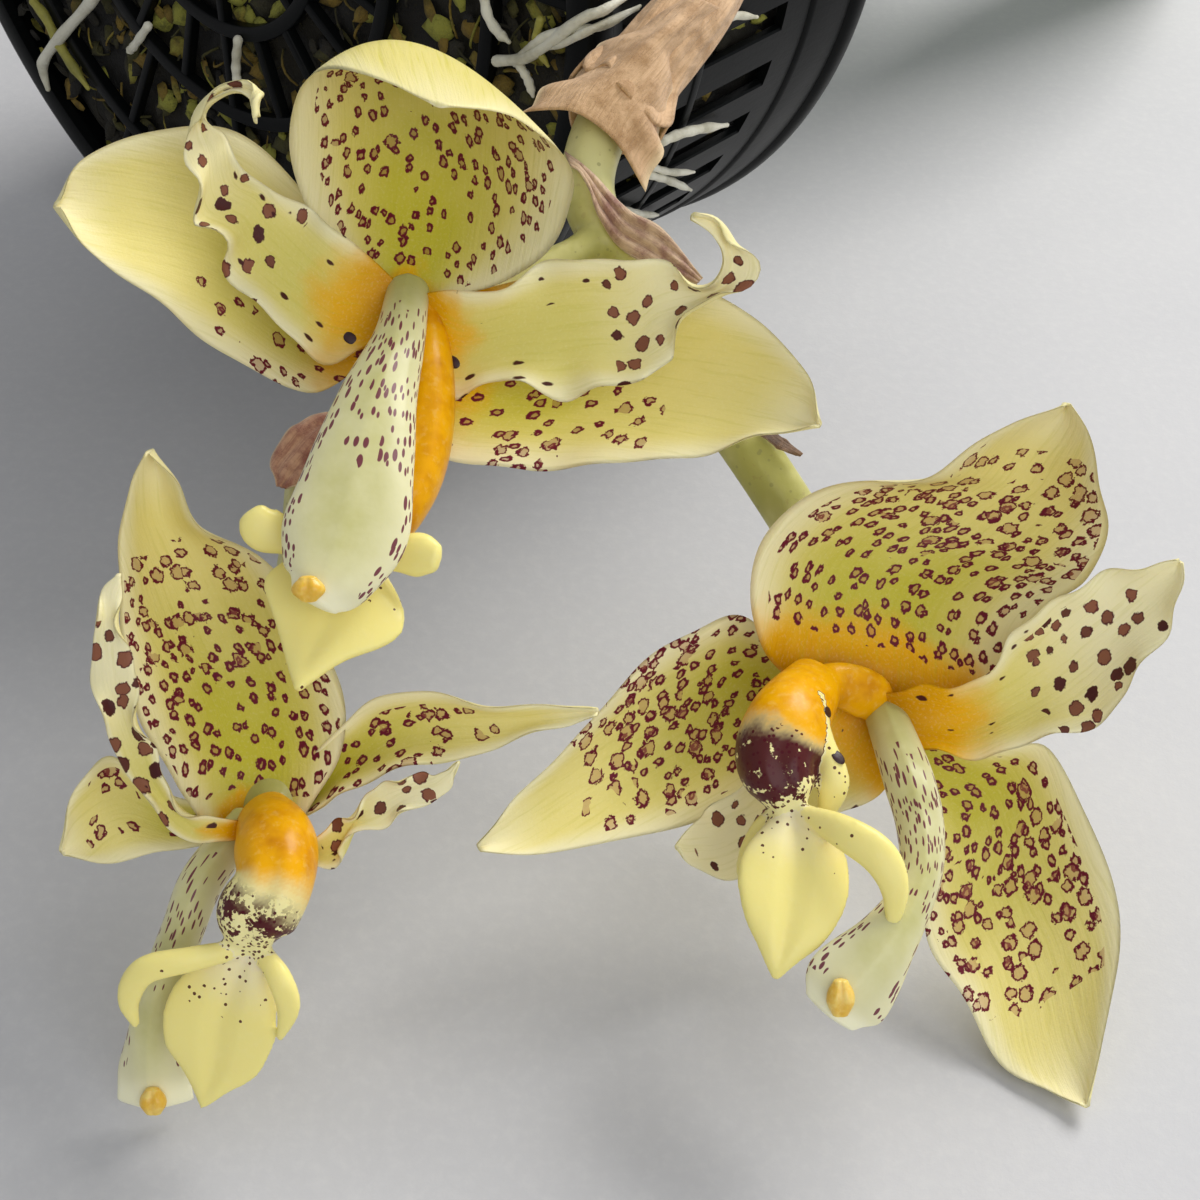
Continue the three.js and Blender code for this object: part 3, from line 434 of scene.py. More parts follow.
# outlines of the flowers: rails of the tepals, spines of the lips and columns, in millimetres
flowerOne = {
    "centre": [-28, 43, 0],
    "upper_sepal": {
        "left": [[-4, -0.5, -3], [-12.5, 10.5, 0], [-15.5, 20.5, 3], [-14, 28.5, 7], [-7, 29, 13],
                 [5.5, 23.5, 18]],
        "mid": [[-0.5, -1.5, -3], [2, 14, -9], [3, 25, -10], [3, 32.5, -5], [3, 34.5, 4], [6.5, 23, 18]],
        "right": [[3.5, -0.5, -3], [19, 4.5, 2], [24, 13.5, 4], [22.5, 19, 7], [17, 22.5, 13],
                  [7.5, 23, 18]],
    },
    "left_sepal": {
        "left": [[0.5, -2.5, -4], [-5.5, -7, -3], [-13, -13.5, -3], [-22.5, -9.5, -2], [-33.5, -2, 0],
                 [-43.5, 6, 3], [-47.5, 12, 5]],
        "right": [[-1, 2, -5], [-8.5, 5.5, -6], [-16, 17.5, -6], [-25.5, 25, -4], [-36.5, 24, -1],
                  [-45, 19.5, 2], [-47.5, 13, 5]],
        "cup": [1, 4, 2],
    },
    "right_sepal": {
        "left": [[0.5, 1.5, -5], [9, 2, -6], [22, 4.5, -6], [39.5, 3, -4], [50, -2.5, -1], [57, -11, 3],
                 [58.5, -17.5, 5]],
        "right": [[-1, -3, -5], [1.5, -13, -5], [4.5, -22.5, -3], [22, -24, -2], [36.5, -23, 0],
                  [52, -20, 3], [58, -18.5, 5]],
        "cup": [1, 4, 2],
    },
    "left_petal": {
        "left": [[0.5, -3, -1], [-6.5, -7.5, 1], [-13, -8.5, 3], [-22, 0.5, 4], [-24, 6.5, 6],
                 [-29, 9, 7], [-27, 15.5, 8], [-29, 23, 9], [-25, 27, 11], [-20, 27, 13],
                 [-18.5, 21.5, 14]],
        "right": [[-0.5, 2, -1], [-8.5, 9, 2], [-16.5, 14, 3], [-21, 17, 5], [-24.5, 20.5, 7],
                  [-26, 24, 9], [-23, 26, 11], [-19.5, 25.5, 13], [-18, 22.5, 14]],
        "cup": [1, 2, 1],
    },
    "right_petal": {
        "left": [[0.5, 0.5, -1], [6.5, 1, 1], [13.5, 1, 3], [22, 4.5, 5], [33.5, 4.5, 6], [41.5, 1, 8],
                 [44.5, 3, 10], [43.5, 7, 12], [40.5, 8.5, 14]],
        "right": [[0, -3, -1], [5, -13, 1], [13.5, -12.5, 3], [20, -14, 4], [28, -13.5, 5],
                  [34.5, -13, 6], [36.5, -8, 7], [42, -3, 8], [47.5, 0, 9], [47.5, 4.5, 11],
                  [44.5, 8.5, 13], [41, 9.5, 14]],
        "cup": [1, 3, 1],
    },
    "column": {
        "spine": [[0.5, 1.5, -2], [0, -7, 7], [-2, -15.5, 14], [-3.5, -24, 19], [-5, -33, 24],
                  [-7, -40, 28], [-8.5, -43, 29]],
        "wide": [3, 3.7, 5.3, 6.9, 7.8, 5.5, 3],
        "deep": [2.6, 3, 3.3, 3.4, 3, 2.2, 1.4],
    },
    "anther": {
        "spine": [[-9, -40.5, 31.5], [-9, -43, 31]],
        "wide": [2.1, 1.8],
        "deep": [1.5, 1.4],
    },
    "lip": {
        "body": {
            "spine": [[2, -0.5, -3], [3.5, -8.5, 0], [3.5, -17.5, 3], [1.5, -26, 7], [-2, -33, 10],
                      [-6, -38, 13]],
            "wide": [2.8, 3.3, 3.9, 4.7, 4.2, 2.8],
            "deep": [2.4, 4.2, 4.8, 4.6, 3.6, 2.4],
        },
        "blade": {
            "spine": [[-4.5, -37, 15], [-6, -40.5, 18], [-7.5, -44.5, 21], [-9.5, -49.5, 24],
                      [-11, -54.5, 27]],
            "wide": [3, 8, 9.7, 4.7, 0.6],
            "deep": [2.2, 2, 1.8, 1.4, 0.7],
        },
        "hornLeft": {
            "spine": [[-7.5, -37.5, 16], [-12.5, -35, 19], [-16.5, -33.5, 20], [-18, -31.5, 21]],
            "wide": [1.7, 2.1, 3, 1.9],
            "deep": [1.6, 1.6, 1.8, 1.2],
        },
        "hornRight": {
            "spine": [[-5, -38, 16], [0, -37, 19], [4, -37, 20], [6.5, -37.5, 21]],
            "wide": [1.8, 2.1, 2.9, 1.9],
            "deep": [1.6, 1.6, 1.8, 1.2],
        },
    },
}
flowerTwo = {
    "centre": [-45.5, -29, 13],
    "upper_sepal": {
        "left": [[-8.5, -3, -4], [-14.5, 7.5, 0], [-17.5, 17, 2], [-19.5, 27, 3], [-18.5, 36, 4],
                 [-17.5, 44, 5], [-15, 48.5, 6]],
        "right": [[4, -2, -4], [9.5, 7.5, -3], [10, 15.5, -5], [6.5, 25, -5], [-0.5, 34.5, -2],
                  [-8, 39, 2], [-11.5, 45, 5], [-14.5, 48.5, 6]],
        "cup": [2, 8, 3],
    },
    "left_sepal": {
        "left": [[-1.5, -3.5, -6], [-7, -4.5, -6], [-12.5, -5.5, -5], [-18, -6.5, -4], [-23, -7, -2],
                 [-27, -5.5, 1]],
        "right": [[-2, -0.5, -7], [-9.5, 1, -7], [-17, 3, -6], [-22, 7.5, -4], [-25.5, 4.5, -1],
                  [-27.5, -4.5, 1]],
        "cup": [0, 2, 1],
    },
    "right_sepal": {
        "left": [[-1.5, 0.5, -6], [2.5, 3, -6], [6.5, 8.5, -5], [10.5, 12.5, -4], [15, 15.5, -2],
                 [22.5, 16.5, 0], [30.5, 15, 2], [37.5, 14.5, 3], [45, 14.5, 4]],
        "right": [[-1, -3, -6], [2.5, -2.5, -5], [7, 0.5, -3], [10.5, 3, -2], [19.5, 6, 0], [28, 8, 1],
                  [34.5, 10, 2], [42, 12.5, 3], [45, 13.5, 4]],
        "cup": [1, 3, 1],
    },
    "left_petal": {
        "left": [[-2, -3, 0], [-5, -3.5, 3], [-10.5, -2.5, 5], [-16.5, 5, 7], [-20.5, 14.5, 9],
                 [-21, 19.5, 10], [-20, 29, 11], [-17.5, 32.5, 11]],
        "right": [[-2, -1, 0], [-4.5, -0.5, 3], [-8, 0, 5], [-12.5, 5.5, 8], [-14.5, 12.5, 9],
                  [-15.5, 18, 10], [-16.5, 24, 11], [-17, 28.5, 11], [-17, 32.5, 11]],
        "cup": [0, 1, 0],
    },
    "right_petal": {
        "left": [[0, -1, -1], [3.5, -2.5, 2], [7, -3, 4], [9.5, -1.5, 5], [13, 1.5, 6], [15.5, 3.5, 7],
                 [19.5, 6, 8], [23.5, 5.5, 9], [27, 8, 10]],
        "right": [[0, -3, -1], [3.5, -5.5, 2], [8, -6.5, 4], [11.5, -5.5, 5], [12.5, -2, 6],
                  [17.5, -0.5, 7], [22.5, 2, 8], [25.5, 4.5, 9], [27, 7.5, 10]],
        "cup": [0, 1, 0],
    },
    "column": {
        "spine": [[-3, -1.5, -3], [-8, -8.5, 2], [-10.5, -15, 3], [-12.5, -20.5, 3], [-14.5, -26.5, 2],
                  [-15.5, -33.5, 0], [-15.5, -39.5, -2]],
        "wide": [2.6, 3, 2.9, 3, 3.2, 3.3, 3.7],
        "deep": [2.6, 2.9, 2.9, 2.8, 2.6, 2.4, 1.6],
    },
    "anther": {
        "spine": [[-15, -37.5, 1.5], [-15, -40.5, 1]],
        "wide": [1.8, 1.8],
        "deep": [1.4, 1.3],
    },
    "lip": {
        "body": {
            "spine": [[-0.5, -1, -1], [2.5, -3.5, 7], [3, -8, 11], [0.5, -12.5, 11], [0, -16.5, 10]],
            "wide": [4.5, 5.3, 5, 5.5, 2],
            "deep": [3.4, 5.2, 5.6, 5, 2.2],
        },
        "blade": {
            "spine": [[0, -16, 10], [-2.5, -21.5, 9], [-4.5, -26.5, 8], [-5.5, -32, 6.5],
                      [-6.5, -35.5, 6], [-7.5, -38.5, 5]],
            "wide": [1.8, 6.1, 7.7, 6.3, 2.9, 0.5],
            "deep": [2, 2, 1.9, 1.6, 1.2, 0.7],
        },
        "hornLeft": {
            "spine": [[-1.5, -16.5, 11], [-7.5, -17.5, 13], [-13.5, -19, 13], [-16, -23, 11],
                      [-15.5, -27, 9]],
            "wide": [1.2, 1.6, 1.8, 1.5, 0.5],
            "deep": [1.4, 1.4, 1.4, 1.2, 0.6],
        },
        "hornRight": {
            "spine": [[1.5, -17, 11], [4, -20, 13], [5, -24, 12], [3.5, -28.5, 10]],
            "wide": [1.2, 1.6, 1.5, 0.5],
            "deep": [1.4, 1.4, 1.2, 0.6],
        },
    },
}
flowerThree = {
    "centre": [38.5, -14, 0],
    "upper_sepal": {
        "left": [[-9.5, 1, -4], [-15, 6.5, 0], [-17.5, 13.5, 2], [-16, 22, 4], [-10.5, 27.5, 4],
                 [-1.5, 31, 4], [7.5, 31.5, 5], [15, 36.5, 7], [26, 41, 9]],
        "right": [[9, -3.5, -4], [16.5, 0, 0], [20, 6.5, 2], [25, 13, 3], [30, 17, 4], [32, 24, 6],
                  [31, 31, 8], [29, 37, 9], [26.5, 41, 9]],
        "cup": [2, 10, 3],
    },
    "left_sepal": {
        "left": [[0.5, -3, -7], [-9.5, -6, -7], [-16, -13.5, -6], [-24, -18, -4], [-34, -20, -1],
                 [-42.5, -21, 2], [-49.5, -22, 4], [-55, -21, 6]],
        "right": [[0, 0.5, -8], [-11.5, 7.5, -8], [-18.5, 12, -6], [-26, 9, -3], [-35, 2.5, 0],
                  [-41.5, -4.5, 2], [-49.5, -13.5, 4], [-55.5, -20, 6]],
        "cup": [1, 4, 1],
    },
    "right_sepal": {
        "left": [[3.5, -1, -7], [12.5, -6.5, -6], [19.5, -7.5, -5], [26, -7, -4], [31, -16, -2],
                 [34, -25.5, 1], [34.5, -36, 4], [31.5, -47.5, 7], [28.5, -55, 10]],
        "right": [[0.5, -3.5, -7], [6.5, -13.5, -6], [8.5, -23.5, -5], [8.5, -35, -3], [13, -42.5, 0],
                  [18, -51, 4], [24, -54.5, 7], [28, -55.5, 10]],
        "cup": [1, 4, 1],
    },
    "left_petal": {
        "left": [[4, -3.5, -4], [2.5, -13, -2], [-5, -17, -2], [-10.5, -22, -2], [-15.5, -24.5, -1],
                 [-20.5, -26, 1], [-25.5, -23.5, 3], [-27.5, -21, 4]],
        "right": [[0.5, 0.5, -4], [-7, -2, -3], [-14.5, -9.5, -3], [-21, -14.5, -1], [-25.5, -17.5, 2],
                  [-28, -20.5, 4]],
        "cup": [0, 1, 0],
    },
    "right_petal": {
        "left": [[0.5, 0.5, -1], [6.5, 1.5, 3], [12, 2, 4], [18, 7, 6], [23.5, 14, 8], [29, 16.5, 10],
                 [36.5, 19, 13], [40, 19.5, 14]],
        "right": [[0.5, -2.5, -1], [4.5, -6.5, 2], [10, -8, 4], [17.5, -7, 6], [27, -4.5, 7],
                  [33, -0.5, 9], [38, 9, 12], [40.5, 15.5, 14], [40.5, 19, 14]],
        "cup": [1, 4, 1],
    },
    "column": {
        "spine": [[2.5, -2.5, -2], [4, -10.5, 9], [5, -16.5, 13], [4.5, -22, 17], [2, -27, 20],
                  [-2, -32, 23], [-6.5, -37, 25], [-8.5, -39.5, 25]],
        "wide": [3, 3.5, 3.3, 3, 3.3, 4.4, 4.2, 2.8],
        "deep": [2.6, 2.9, 2.9, 2.8, 2.8, 2.6, 2, 1.4],
    },
    "anther": {
        "spine": [[-7.5, -35.5, 27.5], [-7.5, -39.5, 27]],
        "wide": [1.8, 1.7],
        "deep": [1.5, 1.3],
    },
    "lip": {
        "body": {
            "spine": [[-8, 2.5, 3], [-12.5, -2.5, 11], [-14.5, -7.5, 14], [-13.5, -11.5, 15],
                      [-12.5, -14.5, 15]],
            "wide": [4.2, 5.5, 5.7, 4.4, 1.8],
            "deep": [3.2, 5.2, 5.6, 4.6, 2.2],
        },
        "blade": {
            "spine": [[-12.5, -14, 15], [-12.5, -19, 18], [-13, -24, 20], [-14, -29, 22], [-15, -33, 23],
                      [-15.5, -35.5, 23]],
            "wide": [1.8, 6.4, 7.5, 5.8, 2.5, 0.6],
            "deep": [2, 2.1, 2, 1.7, 1.2, 0.7],
        },
        "hornLeft": {
            "spine": [[-13.5, -14.5, 15], [-16.5, -17, 14], [-18.5, -22.5, 12], [-17.5, -28, 11]],
            "wide": [1.1, 1.5, 1.4, 0.6],
            "deep": [1.3, 1.3, 1.1, 0.6],
        },
        "hornRight": {
            "spine": [[-11.5, -14.5, 17], [-6.5, -16.5, 22], [-2, -19.5, 24], [0, -24, 24],
                      [-0.5, -30, 23]],
            "wide": [1.2, 2.2, 2.4, 1.8, 0.6],
            "deep": [1.4, 1.5, 1.5, 1.3, 0.6],
        },
        "cheek": {
            "spine": [[-9, 0.5, 11.5], [-8, -5, 13.5], [-6.9, -10.5, 14.5], [-7.8, -15, 13.5]],
            "wide": [1.1, 1.3, 2.2, 1.3],
            "deep": [1.4, 1.6, 1.7, 1.2],
        },
        "claw": {
            "spine": [[-9.5, 2, 4], [-4.5, 2, 2], [-0.5, 0.5, 0], [1.5, -1, -2]],
            "wide": [2.5, 3.3, 3.6, 3],
            "deep": [2, 1.8, 1.7, 1.6],
        },
    },
}
flowers = {"flower_1": flowerOne, "flower_2": flowerTwo, "flower_3": flowerThree}


# sepals and petals
tepalSettings = {
    "cream": linear("fbf2c6"), "pale": linear("f0e18c"), "green": linear("c4bd1e"), "back": linear("e4d786"),
    "gold": linear("f0b400"), "amber": linear("cf8f00"), "glow": linear("ecd95a"),
    "ring": linear("6a0f2a"), "fill": linear("c0845c"), "deepFill": linear("832a38"),
    "bold": linear("430a18"),
    "rich": {"flower_1": 0.85, "flower_2": 0.5, "flower_3": 0.25},
    "thickness": 0.95, "rows": 84, "columns": 41,
}
# spacing, least and most radius and raggedness in mm, shift of the pattern, where the rings have gaps
spotKinds = {
    "petalRings": [3.6, 0.62, 1.22, 0.9, 1, 0.2],
    "petalDashes": [2.9, 0.1, 0.42, 0.5, 2, 0.1],
    "sepalSmall": [2.2, 0.28, 0.62, 1.0, 1, 0.2],
    "sepalLarge": [3.3, 0.55, 1.15, 1.4, 2, 0.26],
}


def spots(look, place, kind, chance):
    # rings with a ragged outline, one to a cell, some of them missing
    spacing, least, most, ragged, shift, gapAt = spotKinds[kind]
    drift = look.vector("SUBTRACT", look.twin(look.noise(place, 95, 2.0, size="2D"), 1), (0.5, 0.5, 0.5))
    moved = look.vector("ADD", place, look.scaled(drift, ragged / 100, ragged / 100, 0))
    moved = look.vector("ADD", moved, (shift * 0.37, shift * 0.71, 0))
    near, size, pick, tone = look.cells(moved, 100 / spacing, "2D", 0.86)
    past = near * spacing - (size * (most - least) + least)
    present = pick < chance
    gap = look.noise(place, 260, 1.0, 0.5, "2D").ramp(gapAt - 0.05, gapAt + 0.05)
    return past.ramp(0.09, -0.09) * present, abs(past).ramp(0.27, 0.13) * present * gap, tone


def tepalLook(name, petal):
    s = tepalSettings
    look = Look(name)
    flat = look.flat()
    side, reach, upper, goldTo, chance, start, until, inner, outer, rich = [look.attribute(key) for key in (
        "side", "reach", "inside", "gold", "chance", "start", "until", "inner", "outer", "rich")]
    along = look.twin(look.make("ShaderNodeSeparateXYZ", {}, [flat]), 1) * 100 / reach
    margin = abs(side)
    cloud = look.noise(flat, 9, size="2D") - 0.5
    veins = look.noise(look.scaled(flat, 150, 9, 1), 1.0, size="2D")
    rib = look.noise(look.scaled(flat, 42, 3, 1), 1.0, 2.0, 0.5, "2D")
    mottle = look.noise(flat, 210, 2.0, size="2D")

    green = (along + cloud * 0.3).ramp(0.78, 0.22) * margin.ramp(1.05, 0.25)
    colour = look.mix(green * (0.4 if petal else 0.85), s["pale"], s["green"])
    edge = margin.ramp(0.62, 1.0).math("MAXIMUM", along.ramp(0.4, 0.75) if petal else along.ramp(0.8, 1.0))
    colour = look.mix(edge * 0.85, colour, s["cream"])
    gold = ((along + cloud * 0.16 + margin * 0.06) / goldTo).ramp(1.12, 0.62)
    deep = ((along + cloud * 0.1) / goldTo).ramp(0.7, 0.1)
    colour = look.mix(gold, colour, look.mix(deep, s["gold"], s["amber"]))
    colour = look.mix((veins - 0.5).ramp(0.02, 0.2) * 0.16, colour, s["green"])
    colour = look.mix((mottle - 0.5).ramp(0.0, 0.3) * 0.12, colour, s["cream"])

    stretch = along + cloud * 0.12
    dotted = chance * ((side > inner) * (side < outer) * (stretch < until) * (stretch > start))
    if petal:
        disc, rim, tone = spots(look, flat, "petalRings", dotted)
        colour = look.mix(disc * 0.985, colour, look.mix(tone * 0.5, s["bold"], s["ring"]))
        colour = look.mix(disc * (1 - rim) * tone.ramp(0.1, 0.6) * 0.4, colour, s["fill"])
        dashed = chance * along.ramp(0.62, 0.4) * margin.ramp(0.2, 0.6) * (along > 0.12) * 0.9
        disc, rim, tone = spots(look, look.scaled(flat, 1, 0.55, 1), "petalDashes", dashed)
        colour = look.mix(disc * 0.98, colour, s["bold"])
    else:
        fill = look.mix(rich, s["fill"], s["deepFill"])
        near = stretch / until
        clump = look.noise(flat, 17, 2.0, 0.5, "2D").ramp(0.36, 0.56) * 0.45 + 0.5
        for place, kind, amount, share in (
                (look.scaled(flat, 1, 0.8, 1), "sepalSmall", 0.5, near.ramp(0.95, 0.6)),
                (flat, "sepalLarge", 0.44, near.ramp(0.35, 0.7) * clump)):
            disc, rim, tone = spots(look, place, kind, dotted * share)
            colour = look.mix(rim, look.mix(disc * amount, colour, fill), s["ring"])
    back = look.mix((veins - 0.5).ramp(0.0, 0.25) * 0.4, s["back"], s["green"])
    back = look.mix(gold * 0.7, look.mix(edge * 0.5, back, s["cream"]), s["gold"])
    look.finish(look.mix(upper.ramp(0.35, 0.65), back, colour), mottle * 0.16 + 0.34 + cloud * 0.12,
                veins * 0.5 + rib * 0.7 + mottle * 0.22, 0.5, 0.00035,
                {**fleshy(0.06, (1.0, 0.8, 0.2), 0.0016), **coated(0.05, 0.35, 0.12)})
    # thin petals let some light through
    glow = look.make("ShaderNodeBsdfTranslucent", {}, [s["glow"]])
    both = look.make("ShaderNodeMixShader", {}, {0: 0.05, 1: Wire(look, look.surface.outputs[0]), 2: glow})
    look.tree.links.new(both.socket, look.tree.nodes["Material Output"].inputs[0])
    return look


sepalLook = tepalLook("sepalFlesh", False)
petalLook = tepalLook("petalFlesh", True)

# per piece: how many spots, where they start and end, how far the gold reaches, side limits, ruffles
tepalPlans = {
    "flower_1": {
        "upper_sepal": [0.72, 0.12, 0.9, 0.14, -0.85, 0.9, (0.35, 2.1), (0.3, 2.4)],
        "left_sepal": [0.22, 0.12, 0.62, 0.34, -1.0, 0.3, (0.5, 2.6), (0.3, 2.1)],
        "right_sepal": [0.5, 0.1, 0.66, 0.3, -0.1, 1.0, (0.3, 2.2), (0.6, 3.4)],
        "left_petal": [0.75, 0.32, 0.95, 0.24, -1.0, 1.0, (1.5, 3.9), (1.2, 3.4)],
        "right_petal": [0.7, 0.48, 0.86, 0.2, -1.0, 1.0, (1.0, 3.4), (1.6, 4.6)],
    },
    "flower_2": {
        "upper_sepal": [0.95, 0.08, 0.76, 0.1, -0.95, 0.95, (0.5, 2.4), (0.4, 2.6)],
        "left_sepal": [0.6, 0.2, 0.86, 0.14, -0.6, 0.8, (0.4, 2.0), (0.4, 2.4)],
        "right_sepal": [0.85, 0.08, 0.72, 0.1, -0.7, 1.0, (0.4, 2.4), (0.5, 2.8)],
        "left_petal": [0.9, 0.2, 0.86, 0.16, -1.0, 1.0, (1.2, 3.8), (1.1, 3.4)],
        "right_petal": [0.9, 0.3, 0.84, 0.12, -1.0, 1.0, (1.1, 4.0), (1.1, 3.5)],
    },
    "flower_3": {
        "upper_sepal": [0.95, 0.14, 0.86, 0.24, -0.86, 0.95, (0.5, 2.3), (0.5, 2.6)],
        "left_sepal": [0.9, 0.14, 0.74, 0.1, -0.85, 1.0, (0.4, 2.2), (0.5, 2.6)],
        "right_sepal": [0.9, 0.08, 0.74, 0.1, -0.8, 1.0, (0.4, 2.1), (0.5, 2.4)],
        "left_petal": [0.85, 0.4, 0.92, 0.34, -1.0, 1.0, (0.7, 3.0), (0.7, 3.3)],
        "right_petal": [1.0, 0.46, 0.88, 0.4, -0.8, 1.0, (0.9, 3.2), (0.9, 3.8)],
    },
}
tepalObjects = {}


def buildTepal(flower, part, number):
    s = tepalSettings
    *plan, leftEdge, rightEdge = tepalPlans[flower][part]
    grid, facing, along = bladeMiddle(flowers[flower][part], s["rows"], s["columns"])
    phase = 0.37 * number
    grid = waves(grid, facing, along, ((*leftEdge, phase), (*rightEdge, phase + 0.4)))
    extra = dict(zip(("chance", "start", "until", "gold", "inner", "outer"), plan), rich=s["rich"][flower])
    node = f"{flower}_{part}"
    tepalObjects[node] = thickBlade(
        node + "_flesh", grid + np.array(flowers[flower]["centre"]), facing, s["thickness"],
        petalLook if "petal" in part else sepalLook, node, fromFlower, number + 1, extra)


for number, (flower, part) in enumerate([(f, p) for f in tepalPlans for p in tepalPlans[f]]):
    buildTepal(flower, part, number)
print("sepals and petals built")


# lips, columns and pollen caps
lipSettings = {
    "gold": linear("ecaa00"), "orange": linear("cc8400"), "wax": linear("f4e68e"), "cream": linear("f3e9a6"),
    "neck": linear("eee3bd"), "freckle": linear("4e0a18"),
    "voxel": 0.43 * mm, "smoothing": 5,
    # where the dark band starts and ends along the lip, how far the gold goes, how much the band covers
    "bands": {"flower_1": [3.0, 3.1, 0.92, 0], "flower_2": [0.6, 0.88, 0.54, -0.12],
              "flower_3": [0.4, 0.88, 0.4, 0.0]},
}


def fuse(piece, voxel, smoothing):
    # merges overlapping bodies into one skin and smooths the joints
    skin = piece.modifiers.new("skin", "REMESH")
    skin.mode = "VOXEL"
    skin.voxel_size = voxel
    skin.use_smooth_shade = True
    soften = piece.modifiers.new("soften", "SMOOTH")
    soften.factor = 0.5
    soften.iterations = smoothing
    graph = bpy.context.evaluated_depsgraph_get()
    mesh = bpy.data.meshes.new_from_object(piece.evaluated_get(graph))
    look = piece.data.materials[0]
    piece.modifiers.clear()
    piece.data = mesh
    mesh.materials.clear()
    mesh.materials.append(look)
    mesh.polygons.foreach_set("use_smooth", [True] * len(mesh.polygons))


def sacForm(t, angle):
    # a swollen pouch, slightly pinched along its upper midline
    x, y = np.cos(angle), np.sin(angle)
    pinch = 0.16 * dent(x, 0.3) * (y > 0) * eased(t, 0.25, 0.6)
    return x * (1 + 0.05 * np.sin(6 * t)), y * (1 - pinch)


def bladeForm(t, angle):
    # a trowel with a shallow groove, raised margins and a keel beneath
    x, y = np.cos(angle), np.sin(angle)
    groove = 0.5 * dent(x, 0.22) * (y > 0) * (1 - eased(t, 0.75, 1.0))
    keel = 0.35 * dent(x, 0.3) * (y < 0)
    return x, y * (1 - groove + keel) + 0.35 * np.abs(x) ** 3 * np.sin(math.pi * np.clip(t, 0, 1))


def hornForm(t, angle):
    return np.cos(angle) * 1.05, np.sin(angle) * (1 + 0.12 * np.cos(2 * angle))


# each part's section, and where its colours start: 0 to 1 is the body of the lip, 1 to 2 the blade
lipForms = {"body": [sacForm, 0.0], "blade": [bladeForm, 1.0], "hornLeft": [hornForm, 2.0],
            "hornRight": [hornForm, 2.0], "claw": [roundForm, -1.0], "cheek": [roundForm, 3.0]}


def lipLook():
    s = lipSettings
    look = Look("lipWax")
    at = look.place()
    path, bandFrom, bandTo, goldTo, cover = [look.attribute(key) for key in (
        "path", "bandFrom", "bandTo", "goldTo", "cover")]
    cloud = look.noise(at, 160) - 0.5
    fine = look.noise(at, 900)
    where = path + cloud * 0.14
    body = look.mix(cloud.ramp(-0.1, 0.25), s["gold"], s["orange"])
    body = look.mix((where / goldTo).ramp(0.82, 1.12), body, s["cream"])
    colour = look.mix(where.ramp(0.9, 1.02), body, s["neck"])
    colour = look.mix(where.ramp(1.02, 1.35), colour, s["wax"])
    colour = look.mix((fine - 0.5).ramp(0.0, 0.25) * 0.14, colour, s["cream"])
    speck, grain = look.cells(at, 1500)[:2]
    band = where.ramp(0, 0.0001) * (where - bandFrom).ramp(-0.05, 0.06) * (bandTo - where).ramp(-0.06, 0.06)
    off = (bandFrom + bandTo) / 2 - where
    broad = look.noise(at, 620, 3.0, 0.65) + abs(off).ramp(0.22, 0.02) * 0.12 + off * 0.9 + cover
    colour = look.mix(broad.ramp(0.5, 0.56) * band * 0.985, colour, s["freckle"])
    density = (band * 0.62 + where.ramp(0.8, 0.95) * where.ramp(1.45, 1.0) * 0.34
               + where.ramp(1.9, 1.98) * 0.03)
    colour = look.mix((speck < 0.36) * (grain < density) * 0.94, colour, s["freckle"])
    return look.finish(colour, fine * 0.14 + 0.26, fine * 0.25 + cloud * 0.8, 0.35, 0.0003,
                       {**fleshy(0.15, (1.0, 0.8, 0.2), 0.002), **coated(0.12, 0.18, 0.15)})


lipWax = lipLook()
lipObjects = {}


def buildLip(flower):
    s = lipSettings
    parts, samples = Parts(), []
    centre = np.array(flowers[flower]["centre"])
    for key, shape in flowers[flower]["lip"].items():
        form, start = lipForms[key]
        tube, quads = sectionTube(shape, 44 if key in ("body", "blade") else 34, 36, form)[:2]
        parts.add(tube + centre, quads)
        size = keyedLine(np.stack([shape["wide"], shape["deep"]], 1), 60).mean(1)
        samples.append(np.column_stack([keyedLine(shape["spine"], 60), np.maximum(size, 0.8),
                                        np.linspace(0, 0.999, 60) + start]))
    piece = parts.build(f"{flower}_lip_flesh", fromFlower, lipWax, "lip", f"{flower}_lip")
    fuse(piece, s["voxel"], s["smoothing"])
    # each point of the fused skin takes its colour from the nearest part
    found = np.empty(3 * len(piece.data.vertices), np.float32)
    piece.data.vertices.foreach_get("co", found)
    local = (found.reshape(-1, 3) / mm - flowerFrameAt) @ flowerAxes.T - centre
    table = np.vstack(samples)
    distance = np.linalg.norm(local[:, None] - table[None, :, :3], axis=2) / table[None, :, 3]
    path = table[np.argmin(distance, axis=1), 4]
    path = np.select([path >= 3, path >= 2, path < 0], [1.3, 1.25 + 0.4 * (path - 2), 0.05], path)
    marks = dict(zip(("bandFrom", "bandTo", "goldTo", "cover"), s["bands"][flower]))
    addAttributes(piece, {"path": path, **marks})
    lipObjects[flower] = piece


columnSettings = {
    "flesh": linear("e4dfb6"), "stripe": linear("b5b167"), "clear": linear("f6f2cd"),
    "dash": linear("6a1a38"),
    # wing width, where the wings start, hollow near the tip, dash amount
    "plans": {"flower_1": [0.1, 0.55, 0.3, 1.0], "flower_2": [0.42, 0.7, 0.45, 0.6],
              "flower_3": [0.45, 0.66, 0.45, 0.95]},
    "rows": 80, "sides": 56,
}


